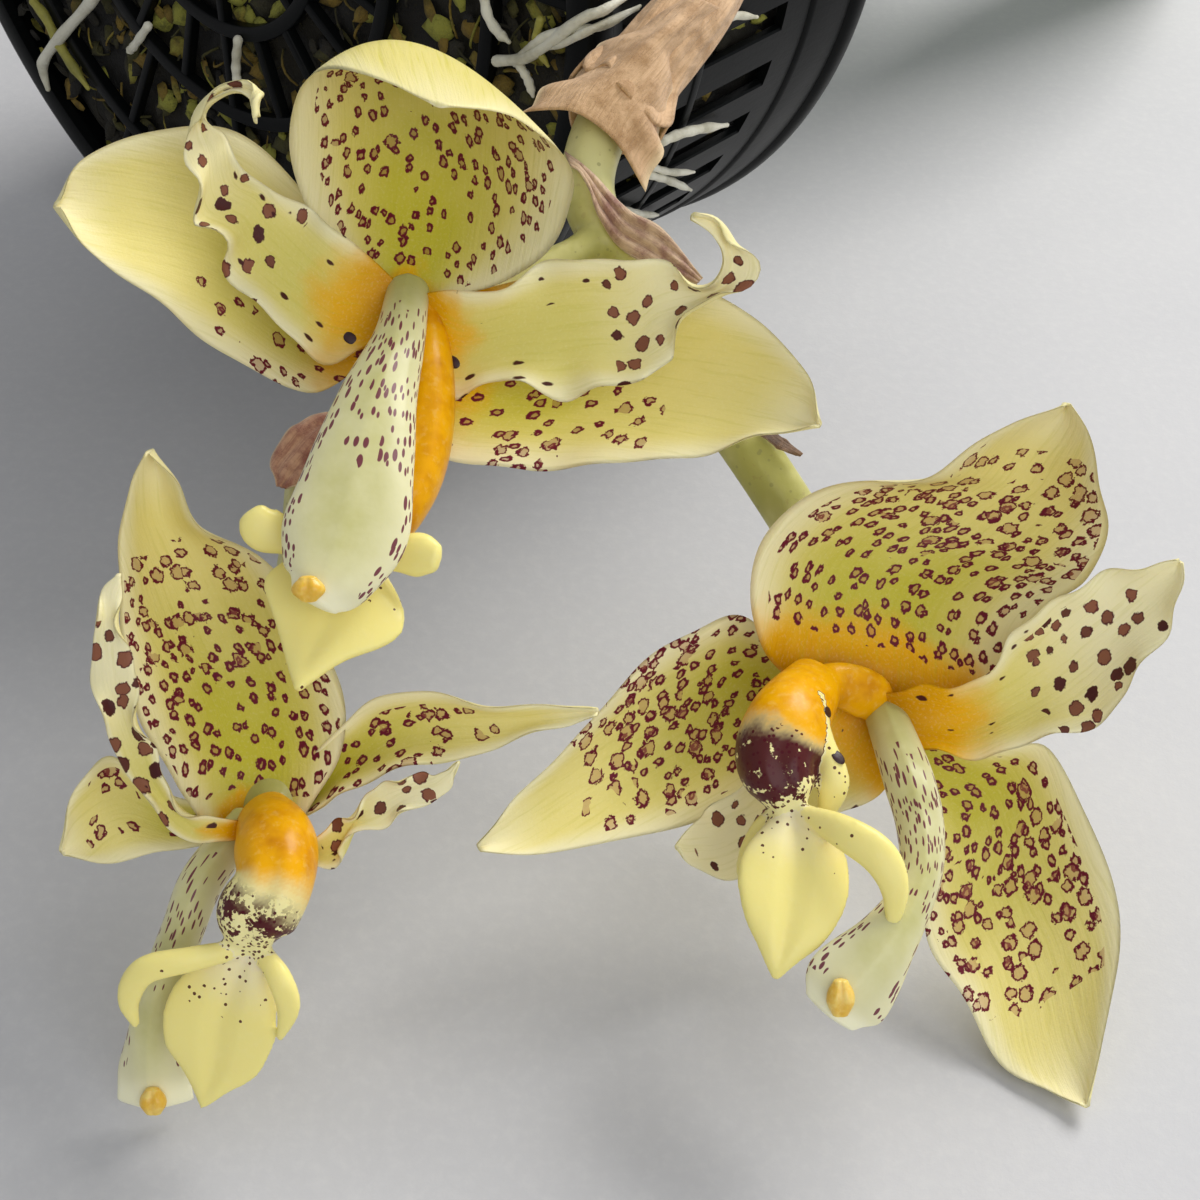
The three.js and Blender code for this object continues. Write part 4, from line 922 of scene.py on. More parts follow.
def columnLook():
    s = columnSettings
    look = Look("columnFlesh")
    at = look.place()
    along, turn, dashes = look.attribute("along"), look.attribute("turn"), look.attribute("dashes")
    cloud = look.noise(at, 180) - 0.5
    fine = look.noise(at, 1100, 2.0)
    middle = abs(turn).ramp(0.5, 0.06) * along.ramp(1.0, 0.7) * (cloud * 0.8 + 0.62)
    colour = look.mix(middle, s["flesh"], s["stripe"])
    colour = look.mix(along.ramp(0.12, 0.0) * 0.8, colour, s["stripe"])
    colour = look.mix(along.ramp(0.86, 0.97), colour, s["clear"])
    near, pick, other, size = look.cells(look.scaled(look.flat(), 1, 0.27, 1), 150, "2D")
    sides = abs(abs(turn) - 0.46).ramp(0.2, 0.08)
    upper = along.ramp(0.64, 0.4) * 0.75
    chance = dashes * upper.math("MAXIMUM", sides) * along.ramp(0.93, 0.8) * along.ramp(0.04, 0.16)
    colour = look.mix((near - size * 0.2).ramp(0.22, 0.14) * (pick < chance) * 0.94, colour, s["dash"])
    return look.finish(colour, fine * 0.14 + 0.24, cloud + fine * 0.2, 0.3, 0.0003,
                       {**fleshy(0.2, (1.0, 0.9, 0.5), 0.002), **coated(0.12, 0.2, 0.2)})


columnFlesh = columnLook()


def buildColumn(flower):
    s = columnSettings
    wing, wingFrom, hollow, dashes = s["plans"][flower]

    def form(t, angle):
        x, y = np.cos(angle), np.sin(angle)
        grow = wing * eased(t, wingFrom, wingFrom + 0.2) * np.abs(x) ** 6
        cupped = hollow * eased(t, 0.74, 0.96) * dent(x, 0.5) * (y < 0)
        ridge = 0.06 * dent(x, 0.16) * (y > 0)
        return x * (1 + grow), y * (1 - cupped + ridge) - 0.35 * np.abs(x) ** 4 * eased(t, wingFrom, 0.95)

    shape = flowers[flower]["column"]
    points, faces, along, around = sectionTube(shape, s["rows"], s["sides"], form, -math.pi / 2, 0.5)
    placed = fromFlower(points + np.array(flowers[flower]["centre"]))
    piece = makeObject(f"{flower}_column_flesh", placed, faces, columnFlesh, f"{flower}_column")
    turn = (around - 0.5) * 2
    length = runLength(keyedLine(shape["spine"], s["rows"]))[-1]
    addFlatMap(piece, turn * math.pi * 4 / 100, along * length / 100)
    addAttributes(piece, {"along": along, "turn": turn, "dashes": dashes})


def capLook():
    look = Look("pollenCap")
    cloud = look.noise(look.place(), 420)
    colour = look.mix(cloud.ramp(0.35, 0.65), linear("e3b436"), linear("f1d272"))
    return look.finish(colour, cloud * 0.2 + 0.25, cloud, 0.4, 0.0003, fleshy(0.3, (1.0, 0.7, 0.3), 0.0015))


pollenCap = capLook()


def capForm(t, angle):
    x, y = np.cos(angle), np.sin(angle)
    return x, y * (1 - 0.3 * dent(x, 0.2) * (y > 0))


def buildCap(flower):
    shape = flowers[flower]["anther"]
    start, end = np.array(shape["spine"], float)
    (wide, wideEnd), (deep, deepEnd) = shape["wide"], shape["deep"]
    form = {"spine": [start + (end - start) * t for t in (-0.1, 0.25, 0.6, 1.0)],
            "wide": [wide * 0.55, wide * 0.95, wide, wideEnd * 0.6],
            "deep": [deep * 0.6, deep, deep * 0.95, deepEnd * 0.5]}
    points, faces = sectionTube(form, 22, 30, capForm)[:2]
    makeObject(f"{flower}_anther_pollen", fromFlower(points + np.array(flowers[flower]["centre"])), faces,
               pollenCap, f"{flower}_anther_cap")


for flower in flowers:
    buildLip(flower)
    buildColumn(flower)
    buildCap(flower)
print("lips and columns built")


# dark eyes beside the columns, each set where the line of sight meets the flesh
eyeSettings = {
    "size": [1.2, 0.8, 0.14], "rings": 7, "sides": 20, "light": "1c0609", "dark": "3a0d14",
    "pixels": {"flower_1": [[350, 338], [453, 362]], "flower_3": [[828, 712], [838, 757]]},
}


def sightLine(pixel):
    half = cameraSettings["photoSize"] / 2
    focal = cameraSettings["photoSize"] * cameraSettings["lens"] / cameraSettings["sensor"]
    x = (pixel[0] - half) / focal
    y = (half - pixel[1]) / focal
    lean = camera.rotation_euler[0]
    ahead = Vector((x, y * math.cos(lean) + math.sin(lean), y * math.sin(lean) - math.cos(lean)))
    return ahead.normalized()


def eyeLook():
    look = Look("eyeSpot")
    cloud = look.noise(look.place(), 900, 2.0, 0.55)
    return look.finish(look.mix(cloud, linear(eyeSettings["light"]), linear(eyeSettings["dark"])),
                       cloud * 0.2 + 0.32, cloud, 0.3, 0.0002)


eyeSpot = eyeLook()


def buildEyes(flower):
    s = eyeSettings
    rings, sides = s["rings"], s["sides"]
    long, short, deep = [v * mm for v in s["size"]]
    hosts = [o for k, o in tepalObjects.items() if k.startswith(flower)] + [lipObjects[flower]]
    for number, pixel in enumerate(s["pixels"][flower]):
        found = [host.ray_cast(Vector(eyeAt), sightLine(pixel)) for host in hosts]
        found = [((at - Vector(eyeAt)).length, at, normal) for hit, at, normal, index in found if hit]
        at, normal = min(found, key=lambda entry: entry[0])[1:]
        side = normal.orthogonal().normalized()
        other = normal.cross(side)
        points = []
        for i in range(1, rings + 1):
            for j in range(sides):
                a, b = math.pi * i / (rings + 1), 2 * math.pi * j / sides
                points.append(at + other * (long * math.sin(a) * math.cos(b))
                              + side * (short * math.sin(a) * math.sin(b)) + normal * (deep * math.cos(a)))
        top, last = len(points), (rings - 1) * sides
        points += [at + normal * deep, at - normal * deep]
        faces = tubeFaces(rings, sides) + [(top, (j + 1) % sides, j) for j in range(sides)]
        faces += [(top + 1, last + j, last + (j + 1) % sides) for j in range(sides)]
        makeObject(f"{flower}_eye_{number + 1}", points, faces, eyeSpot)


for flower in eyeSettings["pixels"]:
    buildEyes(flower)
print("eyes set")


# stem, flower stalks and bracts; each point of a path is a place and a radius
stemSettings = {
    "path": [[22, 112, -60, 4.6], [16.5, 98, -42, 4.6], [10.5, 89, -35, 4.7], [4.5, 80, -31, 4.6],
             [-0.5, 71.5, -27, 4.5], [-1.5, 61.5, -24, 4.4], [4.5, 50.5, -22, 4.3], [14.5, 35, -20, 4.1],
             [25.5, 19, -19, 4], [32.5, 7.5, -18, 3.9], [36.5, -1.5, -15.5, 3.7]],
    "stalks": [
        [[1, 57, -21, 2.4], [-5, 52, -19, 2.6], [-17, 46.5, -15, 3.2], [-26.5, 43.5, -8.5, 3.6]],
        [[6, 47, -21.5, 2.4], [-8, 36, -27, 2.5], [-28, 28, -27, 2.7], [-43, 23, -22, 3],
         [-45, 8, -15, 3], [-46.5, -12, -8, 3.2], [-46.5, -26, 0, 3.4], [-45.8, -29.6, 4.5, 3.6]],
        [[34.5, 2, -17.5, 3.6], [38, -6, -14, 3.5], [38.8, -12, -8.5, 3.6]],
    ],
    "seat": 5, "seatDepth": 7, "seatRadii": [2.5, 4.4, 4.4, 2.4],
    "pale": linear("d6d193"), "fresh": linear("aeaa5c"), "scar": linear("8d8a55"), "blush": linear("8c5a52"),
    "voxel": 0.66 * mm, "smoothing": 5,
}


def stemLook():
    s = stemSettings
    look = Look("stemSkin")
    at = look.place()
    cloud = look.noise(at, 55, 4.0)
    fine = look.noise(at, 700)
    streak = look.noise(look.scaled(at, 260, 90, 90), 1.0)
    colour = look.mix(cloud.ramp(0.35, 0.7), s["pale"], s["fresh"])
    colour = look.mix(streak.ramp(0.5, 0.75) * 0.45, colour, s["fresh"])
    speck, pick = look.cells(at, 620)[:2]
    colour = look.mix((speck < 0.2) * (pick < 0.22) * 0.5, colour, s["scar"])
    colour = look.mix((fine > 0.66) * 0.15, colour, s["blush"])
    skin = {**fleshy(0.12, (0.9, 1.0, 0.4), 0.002), "Coat Weight": 0.08, "Specular IOR Level": 0.25}
    height = streak * 0.8 + fine * 0.25 + cloud * 0.4
    return look.finish(colour, fine * 0.18 + 0.32, height, 0.4, 0.0005, skin)


def buildStem():
    s = stemSettings
    parts = Parts()
    lines = [(s["path"], 130, 0.06, 5, 0.05)] + [(stalk, 60, 0.1, 6, 0) for stalk in s["stalks"]]
    for line, rows, depth, lobes, swelling in lines:
        line = np.array(line, float)

        def form(t, angle):
            swell = 1 + swelling * np.sin(9.0 * t) + depth * 0.5 * np.cos(lobes * angle)
            return np.cos(angle) * swell, np.sin(angle) * swell

        shape = {"spine": line[:, :3], "wide": line[:, 3], "deep": line[:, 3]}
        parts.add(*sectionTube(shape, rows, 32, form)[:2])
    # a round seat behind each flower, where its parts meet
    for shape in flowers.values():
        middle = np.array(shape["centre"], float) - [0, 0, s["seatDepth"]]
        steps = [(-0.4, -0.66), (0, -0.2), (0, 0.2), (0.2, 0.62)]
        seat = {"spine": [middle + [0, y, z * s["seat"]] for y, z in steps],
                "wide": s["seatRadii"], "deep": s["seatRadii"]}
        parts.add(*sectionTube(seat, 16, 24, roundForm)[:2])
    piece = parts.build("flower_stem_flesh", fromFlower, stemLook(), "stem", "flower_stem")
    fuse(piece, s["voxel"], s["smoothing"])


# a paper has its light, dark and rim colours
bractSettings = {
    "sheath": {"thickness": 0.6, "paper": ["dbb488", "ad8455", "e6cda0"], "ruffle": (0.9, 2.6)},
    "bract_long": {"thickness": 0.55, "paper": ["d6b795", "94685a", "dcc6a2"], "ruffle": (0.3, 2.0)},
    "bract_small": {"thickness": 0.5, "paper": ["8d6a4a", "4c3423", "a98a66"], "ruffle": (0.2, 2.0)},
    "bract_hidden": {"thickness": 0.6, "paper": ["d6ab8c", "95594b", "dcc6a2"], "ruffle": (0.5, 2.2)},
}
foldedFrom = 0.52  # thinner bracts have no folds
bractRails = {
    "sheath": {
        "left": [[12, 96, -36], [6.5, 92, -34], [-1, 86, -31], [-6, 80.5, -27], [-12.5, 74.5, -22]],
        "mid": [[15.5, 94.5, -30], [10, 88, -25], [4.5, 81.5, -22], [0.5, 76.5, -20], [-1.5, 73, -19]],
        "right": [[20, 95, -37], [15.5, 89, -35], [11, 83.5, -32], [10.5, 74.5, -27], [7, 63, -24]],
    },
    "bract_long": {
        "left": [[-5.5, 69, -22], [-1, 65, -19], [4.5, 59, -17.5], [9.5, 56, -16.5], [15.5, 48.5, -16]],
        "right": [[-4.5, 66, -19.5], [-2.5, 64, -18], [0, 57.5, -17.5], [4.5, 52, -17], [14.5, 47.5, -16]],
    },
    "bract_small": {
        "left": [[25, 26.5, -15.5], [28, 24, -15.5], [30.5, 22, -15]],
        "right": [[23.5, 25, -14.5], [27, 22.5, -14.5], [30, 21.5, -15]],
    },
    "bract_hidden": {
        "left": [[-40, 29, -21], [-45, 27.5, -17], [-49, 21.5, -13], [-48, 17, -11]],
        "right": [[-37, 25, -21], [-38.5, 24, -17], [-42, 18.5, -13], [-46.5, 16.5, -11.5]],
    },
}


def bractLook(name):
    look = Look(name + "Paper")
    flat = look.flat()
    light, dark, rim = [linear(code) for code in bractSettings[name]["paper"]]
    cloud = look.noise(flat, 22, 4.0, 0.65, "2D")
    veins = look.noise(look.scaled(flat, 240, 14, 1), 1.0, 4.0, 0.65, "2D")
    fine = look.noise(flat, 500, size="2D")
    colour = look.mix(cloud.ramp(0.3, 0.75), light, dark)
    colour = look.mix(veins.ramp(0.5, 0.7) * 0.55, colour, dark)
    colour = look.mix(abs(look.attribute("side")).ramp(0.86, 1.0) * 0.8, colour, rim)
    colour = look.mix((fine > 0.64) * cloud.ramp(0.35, 0.6) * 0.5, colour, linear("54261f"))
    return look.finish(colour, fine * 0.25 + 0.52, veins + cloud * 0.8 + fine * 0.2, 0.7, 0.0005,
                       {"Sheen Weight": 0.15})


sheathPaper = bractLook("sheath")


def buildBract(name, number):
    plan = bractSettings[name]
    grid, facing, s = bladeMiddle(bractRails[name], 60, 31)
    height, turns = plan["ruffle"]
    grid = waves(grid, facing, s, ((height, turns, 0.1), (height, turns * 1.2, 0.6)))
    u = np.linspace(-1, 1, 31)[None, :]
    folds = 0.28 * np.sin(9 * u + 4 * s[:, None]) * (eased(s, 0, 0.3) * (1 - 0.5 * s))[:, None]
    grid = grid + facing * (folds * (plan["thickness"] > foldedFrom))[..., None]
    paper = sheathPaper if name == "sheath" else bractLook(name)
    thickBlade(name + "_paper", grid, facing, plan["thickness"], paper, name, fromFlower,
               20 + number)


buildStem()
for number, name in enumerate(bractSettings):
    buildBract(name, number)
print("stem and bracts built")


# dry wrap of the sheath, higher up round the stem: its share of the path, and millimetres
wrapSettings = {"to": 0.36, "room": 1.1, "flare": 2.6, "thickness": 0.5, "rows": 60, "sides": 80}


def buildWrap():
    s = wrapSettings
    rows, sides = s["rows"], s["sides"]
    whole = keyedLine(stemSettings["path"], 401)
    keep = np.linspace(0, s["to"] * 400, rows)
    line = np.stack([np.interp(keep, np.arange(401), whole[:, k]) for k in range(4)], 1)
    spine, radius = line[:, :3], line[:, 3]
    across, up = framed(spine)[1:]
    angle = circle(sides)
    t = np.linspace(0, 1, rows)[:, None]
    fold = 0.35 * np.sin(5 * angle[None, :] + 7 * t) + 0.22 * np.sin(11 * angle[None, :] - 4 * t)
    torn = 1 - 0.16 * (0.5 + 0.5 * np.sin(2 * angle + 0.8)) * (0.7 + 0.3 * np.sin(7 * angle))
    slip = (torn[None, :] * t) * (rows - 1)
    base = np.stack([np.interp(slip, np.arange(rows), spine[:, k]) for k in range(3)], -1)
    skins = []
    for face in (0, s["thickness"]):
        reach = s["room"] + face + fold * (0.5 + 0.5 * t) + s["flare"] * eased(t, 0.72, 1.0) ** 1.5
        ring = (radius[:, None] + reach)[..., None] * (across[:, None] * np.cos(angle)[None, :, None]
                                                      + up[:, None] * np.sin(angle)[None, :, None])
        skins.append((base + ring).reshape(-1, 3))
    piece = makeObject("sheath_wrap", fromFlower(np.vstack(skins)), sleeveFaces(rows, sides), sheathPaper,
                       "sheath")
    around = np.broadcast_to((angle - math.pi)[None, :] * 5.5 / 100 + 7, (rows, sides))
    addFlatMap(piece, twice(around), twice(np.broadcast_to(t * 0.45, (rows, sides))))
    addAttributes(piece, {"side": 0})


buildWrap()
print("wrap built")


# black slatted basket, turned in rings with bars and ribs between them, in millimetres
basketSettings = {
    "footRadius": 98.4, "wallRadius": 96.6, "wallInside": 94.7, "base": 2.6,
    "bars": 48, "slotFrom": 9, "slotTo": 56, "slotWidth": 5.2,
    "rings": [[0.6, 9], [29.5, 32.5], [47.5, 50.5], [72.5, 75.5]], "circles": [5.5, 20],
    "openings": [[9, 29.5, 8], [32.5, 47.5, 20], [50.5, 72.5, 12], [75.5, 92, 12]],
    "rib": 1.9, "corner": 0.35, "steps": 192, "stemRoom": 5.7, "sharp": 38,
}


def toBasket(world):
    return (np.asarray(world) / mm - basketAt) @ basketAxes.T


stemInBasket = toBasket(fromFlower(smoothLine(np.array(stemSettings["path"])[:, :3], 90)))


def nearStem(point, room):
    return np.linalg.norm(stemInBasket - np.asarray(point), axis=1).min() < room


def polar(radius, angle, height):
    return np.array([radius * math.cos(angle), radius * math.sin(angle), height])


def roundedLoop(r0, r1, z0, z1, corner):
    # a rectangle in radius and height with rounded corners
    loop = []
    for r, z, start in ((r1 - corner, z1 - corner, 0), (r0 + corner, z1 - corner, 90),
                        (r0 + corner, z0 + corner, 180), (r1 - corner, z0 + corner, 270)):
        for k in range(4):
            a = math.radians(start + 30 * k)
            loop.append((r + corner * math.cos(a), z + corner * math.sin(a)))
    return loop


def openSpan(radius, height, room):
    # the part of a ring that leaves room for the stem
    blocked = [a for a in np.linspace(0, 2 * math.pi, 721) if nearStem(polar(radius, a, height), room)]
    if not blocked:
        return 0, 2 * math.pi
    if max(blocked) - min(blocked) > math.pi:
        blocked = [a - 2 * math.pi if a > math.pi else a for a in blocked]
    return max(blocked), min(blocked) + 2 * math.pi


def turned(parts, loop, radius, height, room):
    # turns a closed outline about the axis, with a gap where the stem passes
    s = basketSettings
    start, end = openSpan(radius, height, s["stemRoom"] + room)
    whole = end - start > 2 * math.pi - 1e-6
    count = max(2, int(round(s["steps"] * (end - start) / (2 * math.pi))))
    angles = np.linspace(start, end, count + 1)[:count + 1 - whole]
    n, last = len(loop), (len(angles) - 1) * len(loop)
    faces = tubeFaces(len(angles), n)
    if whole:
        faces += [(last + j, last + (j + 1) % n, (j + 1) % n, j) for j in range(n)]
    else:
        faces += [tuple(range(n))[::-1], tuple(range(last, last + n))]
    parts.add([polar(r, a, z) for a in angles for r, z in loop], faces)


def clearRuns(places, clear):
    # from and to where a bar can run without touching the stem
    runs, start = [], None
    for place, good in zip(places, clear):
        if good and start is None:
            start = place
        if not good and start is not None:
            runs.append((start, place))
            start = None
    return runs + ([(start, places[-1])] if start is not None else [])


def addBar(parts, points):
    # a straight bar between two equal outlines
    n = len(points) // 2
    parts.add(points, tubeFaces(2, n) + [tuple(range(n))[::-1], tuple(range(n, 2 * n))])


def ribBar(parts, angle, r0, r1):
    # a straight rib on the base
    s = basketSettings
    along = np.linspace(r0 - 0.4, r1 + 0.4, 40)
    direction, side = polar(1, angle, 0), np.array([-math.sin(angle), math.cos(angle), 0])
    low, high = 0.15, s["base"]
    clear = [not nearStem(direction * r + [0, 0, (low + high) / 2], s["stemRoom"]) for r in along]
    loop = roundedLoop(-s["rib"] / 2, s["rib"] / 2, low, high, s["corner"])
    for ends in clearRuns(along, clear):
        if ends[1] - ends[0] >= 0.8:
            addBar(parts, [direction * r + side * w + np.array([0, 0, z]) for r in ends for w, z in loop])


def wallBar(parts, angle):
    # an upright slat of the wall, in pieces above and below the stem
    s = basketSettings
    inside, outside, corner = s["wallInside"], s["wallRadius"], s["corner"]
    half = (2 * math.pi * (inside + outside) / 2 / s["bars"] - s["slotWidth"]) / 2
    heights = np.linspace(s["slotFrom"] - 0.3, s["slotTo"] + 0.3, 40)
    clear = [not nearStem(polar(95.6, angle, z), s["stemRoom"] + 2.2) for z in heights]
    loop = [(outside - corner, -half), (outside, -half + corner), (outside + 0.02, 0),
            (outside, half - corner), (outside - corner, half), (inside + corner, half),
            (inside, half - corner), (inside, -half + corner), (inside + corner, -half)]
    for ends in clearRuns(heights, clear):
        addBar(parts, [polar(r, angle + w / r, z) for z in ends for r, w in loop])


def plasticLook():
    look = Look("blackPlastic")
    at = look.place()
    cloud = look.noise(at, 28, 4.0)
    fine = look.noise(at, 900)
    dust = look.noise(at, 130, 5.0, 0.7)
    rub = look.noise(look.scaled(at, 60, 60, 500), 1.0)
    film = dust.ramp(0.56, 0.8) * 0.2 + (rub > 0.66) * 0.03
    colour = look.mix(film, look.mix(cloud, linear("060707"), linear("0e1010")), linear("35342f"))
    return look.finish(colour, cloud * 0.25 + film * 0.5 + 0.24, fine * 0.3 + rub * 0.5, 0.25, 0.0003,
                       {"Specular IOR Level": 0.08})


def buildBasket():
    s = basketSettings
    parts = Parts()
    foot, wall, inside, base = s["footRadius"], s["wallRadius"], s["wallInside"], s["base"]
    for r0, r1 in s["rings"]:
        turned(parts, roundedLoop(r0, r1, 0, base, s["corner"]), (r0 + r1) / 2, 1.3, 1)
    # thin raised circles on the base
    for radius in s["circles"]:
        turned(parts, roundedLoop(radius - 0.7, radius + 0.7, 0.5, base - 0.2, 0.3), radius, 1.3, 0.5)
    lower = [(92, 0.2), (92.4, 0), (96.4, 0), (97.6, 0.4), (98.2, 1.2), (foot, 2), (foot, 4.2), (98.1, 5),
             (97.2, 5.9), (wall, 6.9), (wall, s["slotFrom"]), (inside, s["slotFrom"]), (inside, base + 0.5),
             (94.2, base), (92, base)]
    upper = [(wall, s["slotTo"]), (wall, 63.6), (97.1, 64.2), (97.25, 65), (97.25, 76.6), (97.9, 77.3),
             (98.3, 78.2), (foot, 79.2), (foot, 80.2), (98.1, 81.1), (97.4, 81.8), (96.6, 82), (95.6, 81.9),
             (94.9, 81.3), (inside, 80.4), (inside, s["slotTo"])]
    turned(parts, lower, 95.5, 3, 2)
    turned(parts, upper, 96, 69, 2)
    turned(parts, roundedLoop(inside - 0.05, wall + 0.25, 31.2, 33.4, 0.4), 95.7, 32.3, 2)
    for i in range(s["bars"]):
        wallBar(parts, 2 * math.pi * i / s["bars"])
    for r0, r1, count in s["openings"]:
        for i in range(count):
            ribBar(parts, 2 * math.pi * i / count, r0, r1)
    piece = parts.build("basket_shell", fromBasket, plasticLook(), "basket", "basket")
    piece.data.set_sharp_from_angle(angle=math.radians(s["sharp"]))


buildBasket()
print("basket built")


# moss and bark in the basket, with roots through its openings
mossSettings = {"flakes": 2300, "strands": 1300, "seed": 41, "radius": 93.6, "slack": 2.6, "stemRoom": 8,
                "coreRows": 100, "coreSides": 180}


def hashed(n):
    # a whole number to a repeatable one from -1 to 1
    n = (n ^ (n >> 13)) * 1274126177
    return ((n ^ (n >> 16)) & 65535) / 32767.5 - 1


def lattice(points, scale, seed):
    # smooth repeatable noise from -1 to 1
    p = np.asarray(points) / scale + seed * 17.3
    base = np.floor(p).astype(np.int64)
    f = p - base
    f = f * f * (3 - 2 * f)
    total = np.zeros(len(p))
    for corner in np.ndindex(2, 2, 2):
        value = hashed((base + corner) @ np.array([374761393, 668265263, 2147483647]) + seed * 1274126177)
        total += value * np.where(corner, f, 1 - f).prod(axis=1)
    return total


def mossLook():
    look = Look("mossBits")
    at = look.place()
    fine = look.noise(at, 1400, 4.0, 0.7)
    fibre = look.noise(at, 420, 4.0, 0.7)
    shade = look.attribute("tone") + (look.noise(at, 60, 4.0, 0.65) - 0.5) * 0.6
    colour = linear("0b0904")
    for start, end, code in ((0.05, 0.4, "1f1b0a"), (0.42, 0.6, "3f3c10"), (0.62, 0.78, "76601e"),
                             (0.84, 0.98, "8b8a34")):
        colour = look.mix(shade.ramp(start, end), colour, linear(code))
    colour = look.mix((fibre - 0.5).ramp(0.0, 0.2) * 0.5, colour, linear("191206"))
    return look.finish(colour, fine * 0.25 + 0.68, fine * 0.5 + fibre, 0.9, 0.0008)


mossBits = mossLook()


def buildCore():
    s = mossSettings
    rows, sides, radius = s["coreRows"], s["coreSides"], s["radius"]
    outline = [(0.4, 3.4), (20, 3.3), (40, 3.4), (60, 3.4), (78, 3.4), (88, 3.6), (92, 5.5),
               (radius - 0.6, 9), (radius, 16), (radius, 26), (radius, 36), (radius, 46),
               (radius - 0.3, 58), (radius - 3, 70), (80, 73), (60, 74), (40, 75), (20, 75), (0.4, 75)]
    line = smoothLine([(r, z, 0) for r, z in outline], rows)
    angle = circle(sides)
    points = np.stack([line[:, None, 0] * np.cos(angle), line[:, None, 0] * np.sin(angle),
                       np.broadcast_to(line[:, None, 1], (rows, sides))], -1).reshape(-1, 3)
    rough = 1.1 * lattice(points, 7, 1) + 0.8 * lattice(points, 3, 2) + 0.4 * lattice(points, 1.5, 3)
    size = np.hypot(points[:, 0], points[:, 1])
    inward = np.where(size > 84, 1 - (0.8 + np.clip(rough, -0.6, 2)) / np.maximum(size, 1) * 0.9, 1)
    points[:, :2] *= inward[:, None]
    deep = points[:, 2]
    points[:, 2] = np.where(deep < 5, deep + 0.7 + 0.8 * rough, np.where(deep > 66, deep + 1.5 * rough, deep))
    points = np.vstack([points, [[0, 0, 4.1], [0, 0, 75]]])
    top, last = rows * sides, (rows - 1) * sides
    faces = tubeFaces(rows, sides) + [(top, (j + 1) % sides, j) for j in range(sides)]
    faces += [(top + 1, last + j, last + (j + 1) % sides) for j in range(sides)]
    piece = makeObject("root_ball_core", fromBasket(points), faces, mossBits, "root_ball")
    addAttributes(piece, {"tone": np.clip(0.22 + 0.2 * lattice(points, 5, 4), 0, 1)})


def mossPlace():
    # a place on the ball and the way out from it: base, wall or top
    pick = random.random()
    a = 2 * math.pi * random.random()
    if 0.5 <= pick < 0.78:
        return polar(93, a, 6 + 56 * random.random()), polar(1, a, 0)
    if pick < 0.5:
        return polar(91 * math.sqrt(random.random()), a, 2.9), np.array([0, 0, -1.0])
    return polar(90 * math.sqrt(random.random()), a, 74.5), np.array([0, 0, 1.0])


def flake(at, out, side, way):
    # a curled leaf of moss, two skins of 6 by 3 points
    share = random.random
    long, wide = 2.4 + 4.4 * share(), 1.0 + 1.7 * share()
    rise, curl = 0.2 + 1.5 * share(), 0.5 + 1.6 * share()
    points = []
    for face in (0.16, -0.16):
        for t in np.arange(6) / 5:
            w = wide * (math.sin(math.pi * (0.08 + 0.88 * t)) ** 0.7)
            for j in (-1, 0, 1):
                h = rise * t + curl * t * (1 - t) - 0.35 * wide * j * j + face * (1 - 0.7 * abs(j))
                points.append(at + way * (long * (t - 0.5)) + side * (w * j)
                              + out * min(h, mossSettings["slack"]))
    return points, flakeFaces, 0.12 + 0.95 * share() ** 1.1


def strand(at, out, side, way):
    # a bent thread of six square rings
    share = random.random
    long, bend, lift, thick = 3 + 7 * share(), 3 * (share() - 0.5), 0.4 + 1.9 * share(), 0.13 + 0.2 * share()
    points = []
    for t in (0, 0.2, 0.4, 0.6, 0.8, 1):
        middle = at + way * (long * (t - 0.5)) + side * (bend * math.sin(2.4 * t))
        middle = middle + out * (lift * 4 * t * (1 - t) - 0.4)
        for b in circle(4):
            points.append(middle + side * (thick * math.cos(b)) + out * (thick * math.sin(b)))
    return points, strandFaces, 0.35 + 0.65 * share()


flakeFaces = []
for a in [i * 3 + j for i in range(5) for j in (0, 1)]:
    flakeFaces += [(a, a + 3, a + 4, a + 1), (a + 18, a + 19, a + 22, a + 21)]
flakeRim = [pair for i in range(0, 15, 3) for pair in ((i, i + 3), (i + 5, i + 2))]
flakeFaces += [(a, a + 18, b + 18, b) for a, b in flakeRim + [(1, 0), (2, 1), (15, 16), (16, 17)]]
strandFaces = tubeFaces(6, 4) + [(3, 2, 1, 0), (20, 21, 22, 23)]


def scatter(name, count, shape):
    parts, tones = Parts(), []
    for turn in range(count):
        at, out = mossPlace()
        if nearStem(at, mossSettings["stemRoom"]):
            continue
        side = unit(np.cross(out, [random.random() - 0.5 for k in range(3)]))
        points, faces, tone = shape(at, out, side, np.cross(out, side))
        parts.add(points, faces)
        tones += [tone] * len(points)
    piece = parts.build(name, fromBasket, mossBits, "moss", "root_ball")
    addAttributes(piece, {"tone": tones})


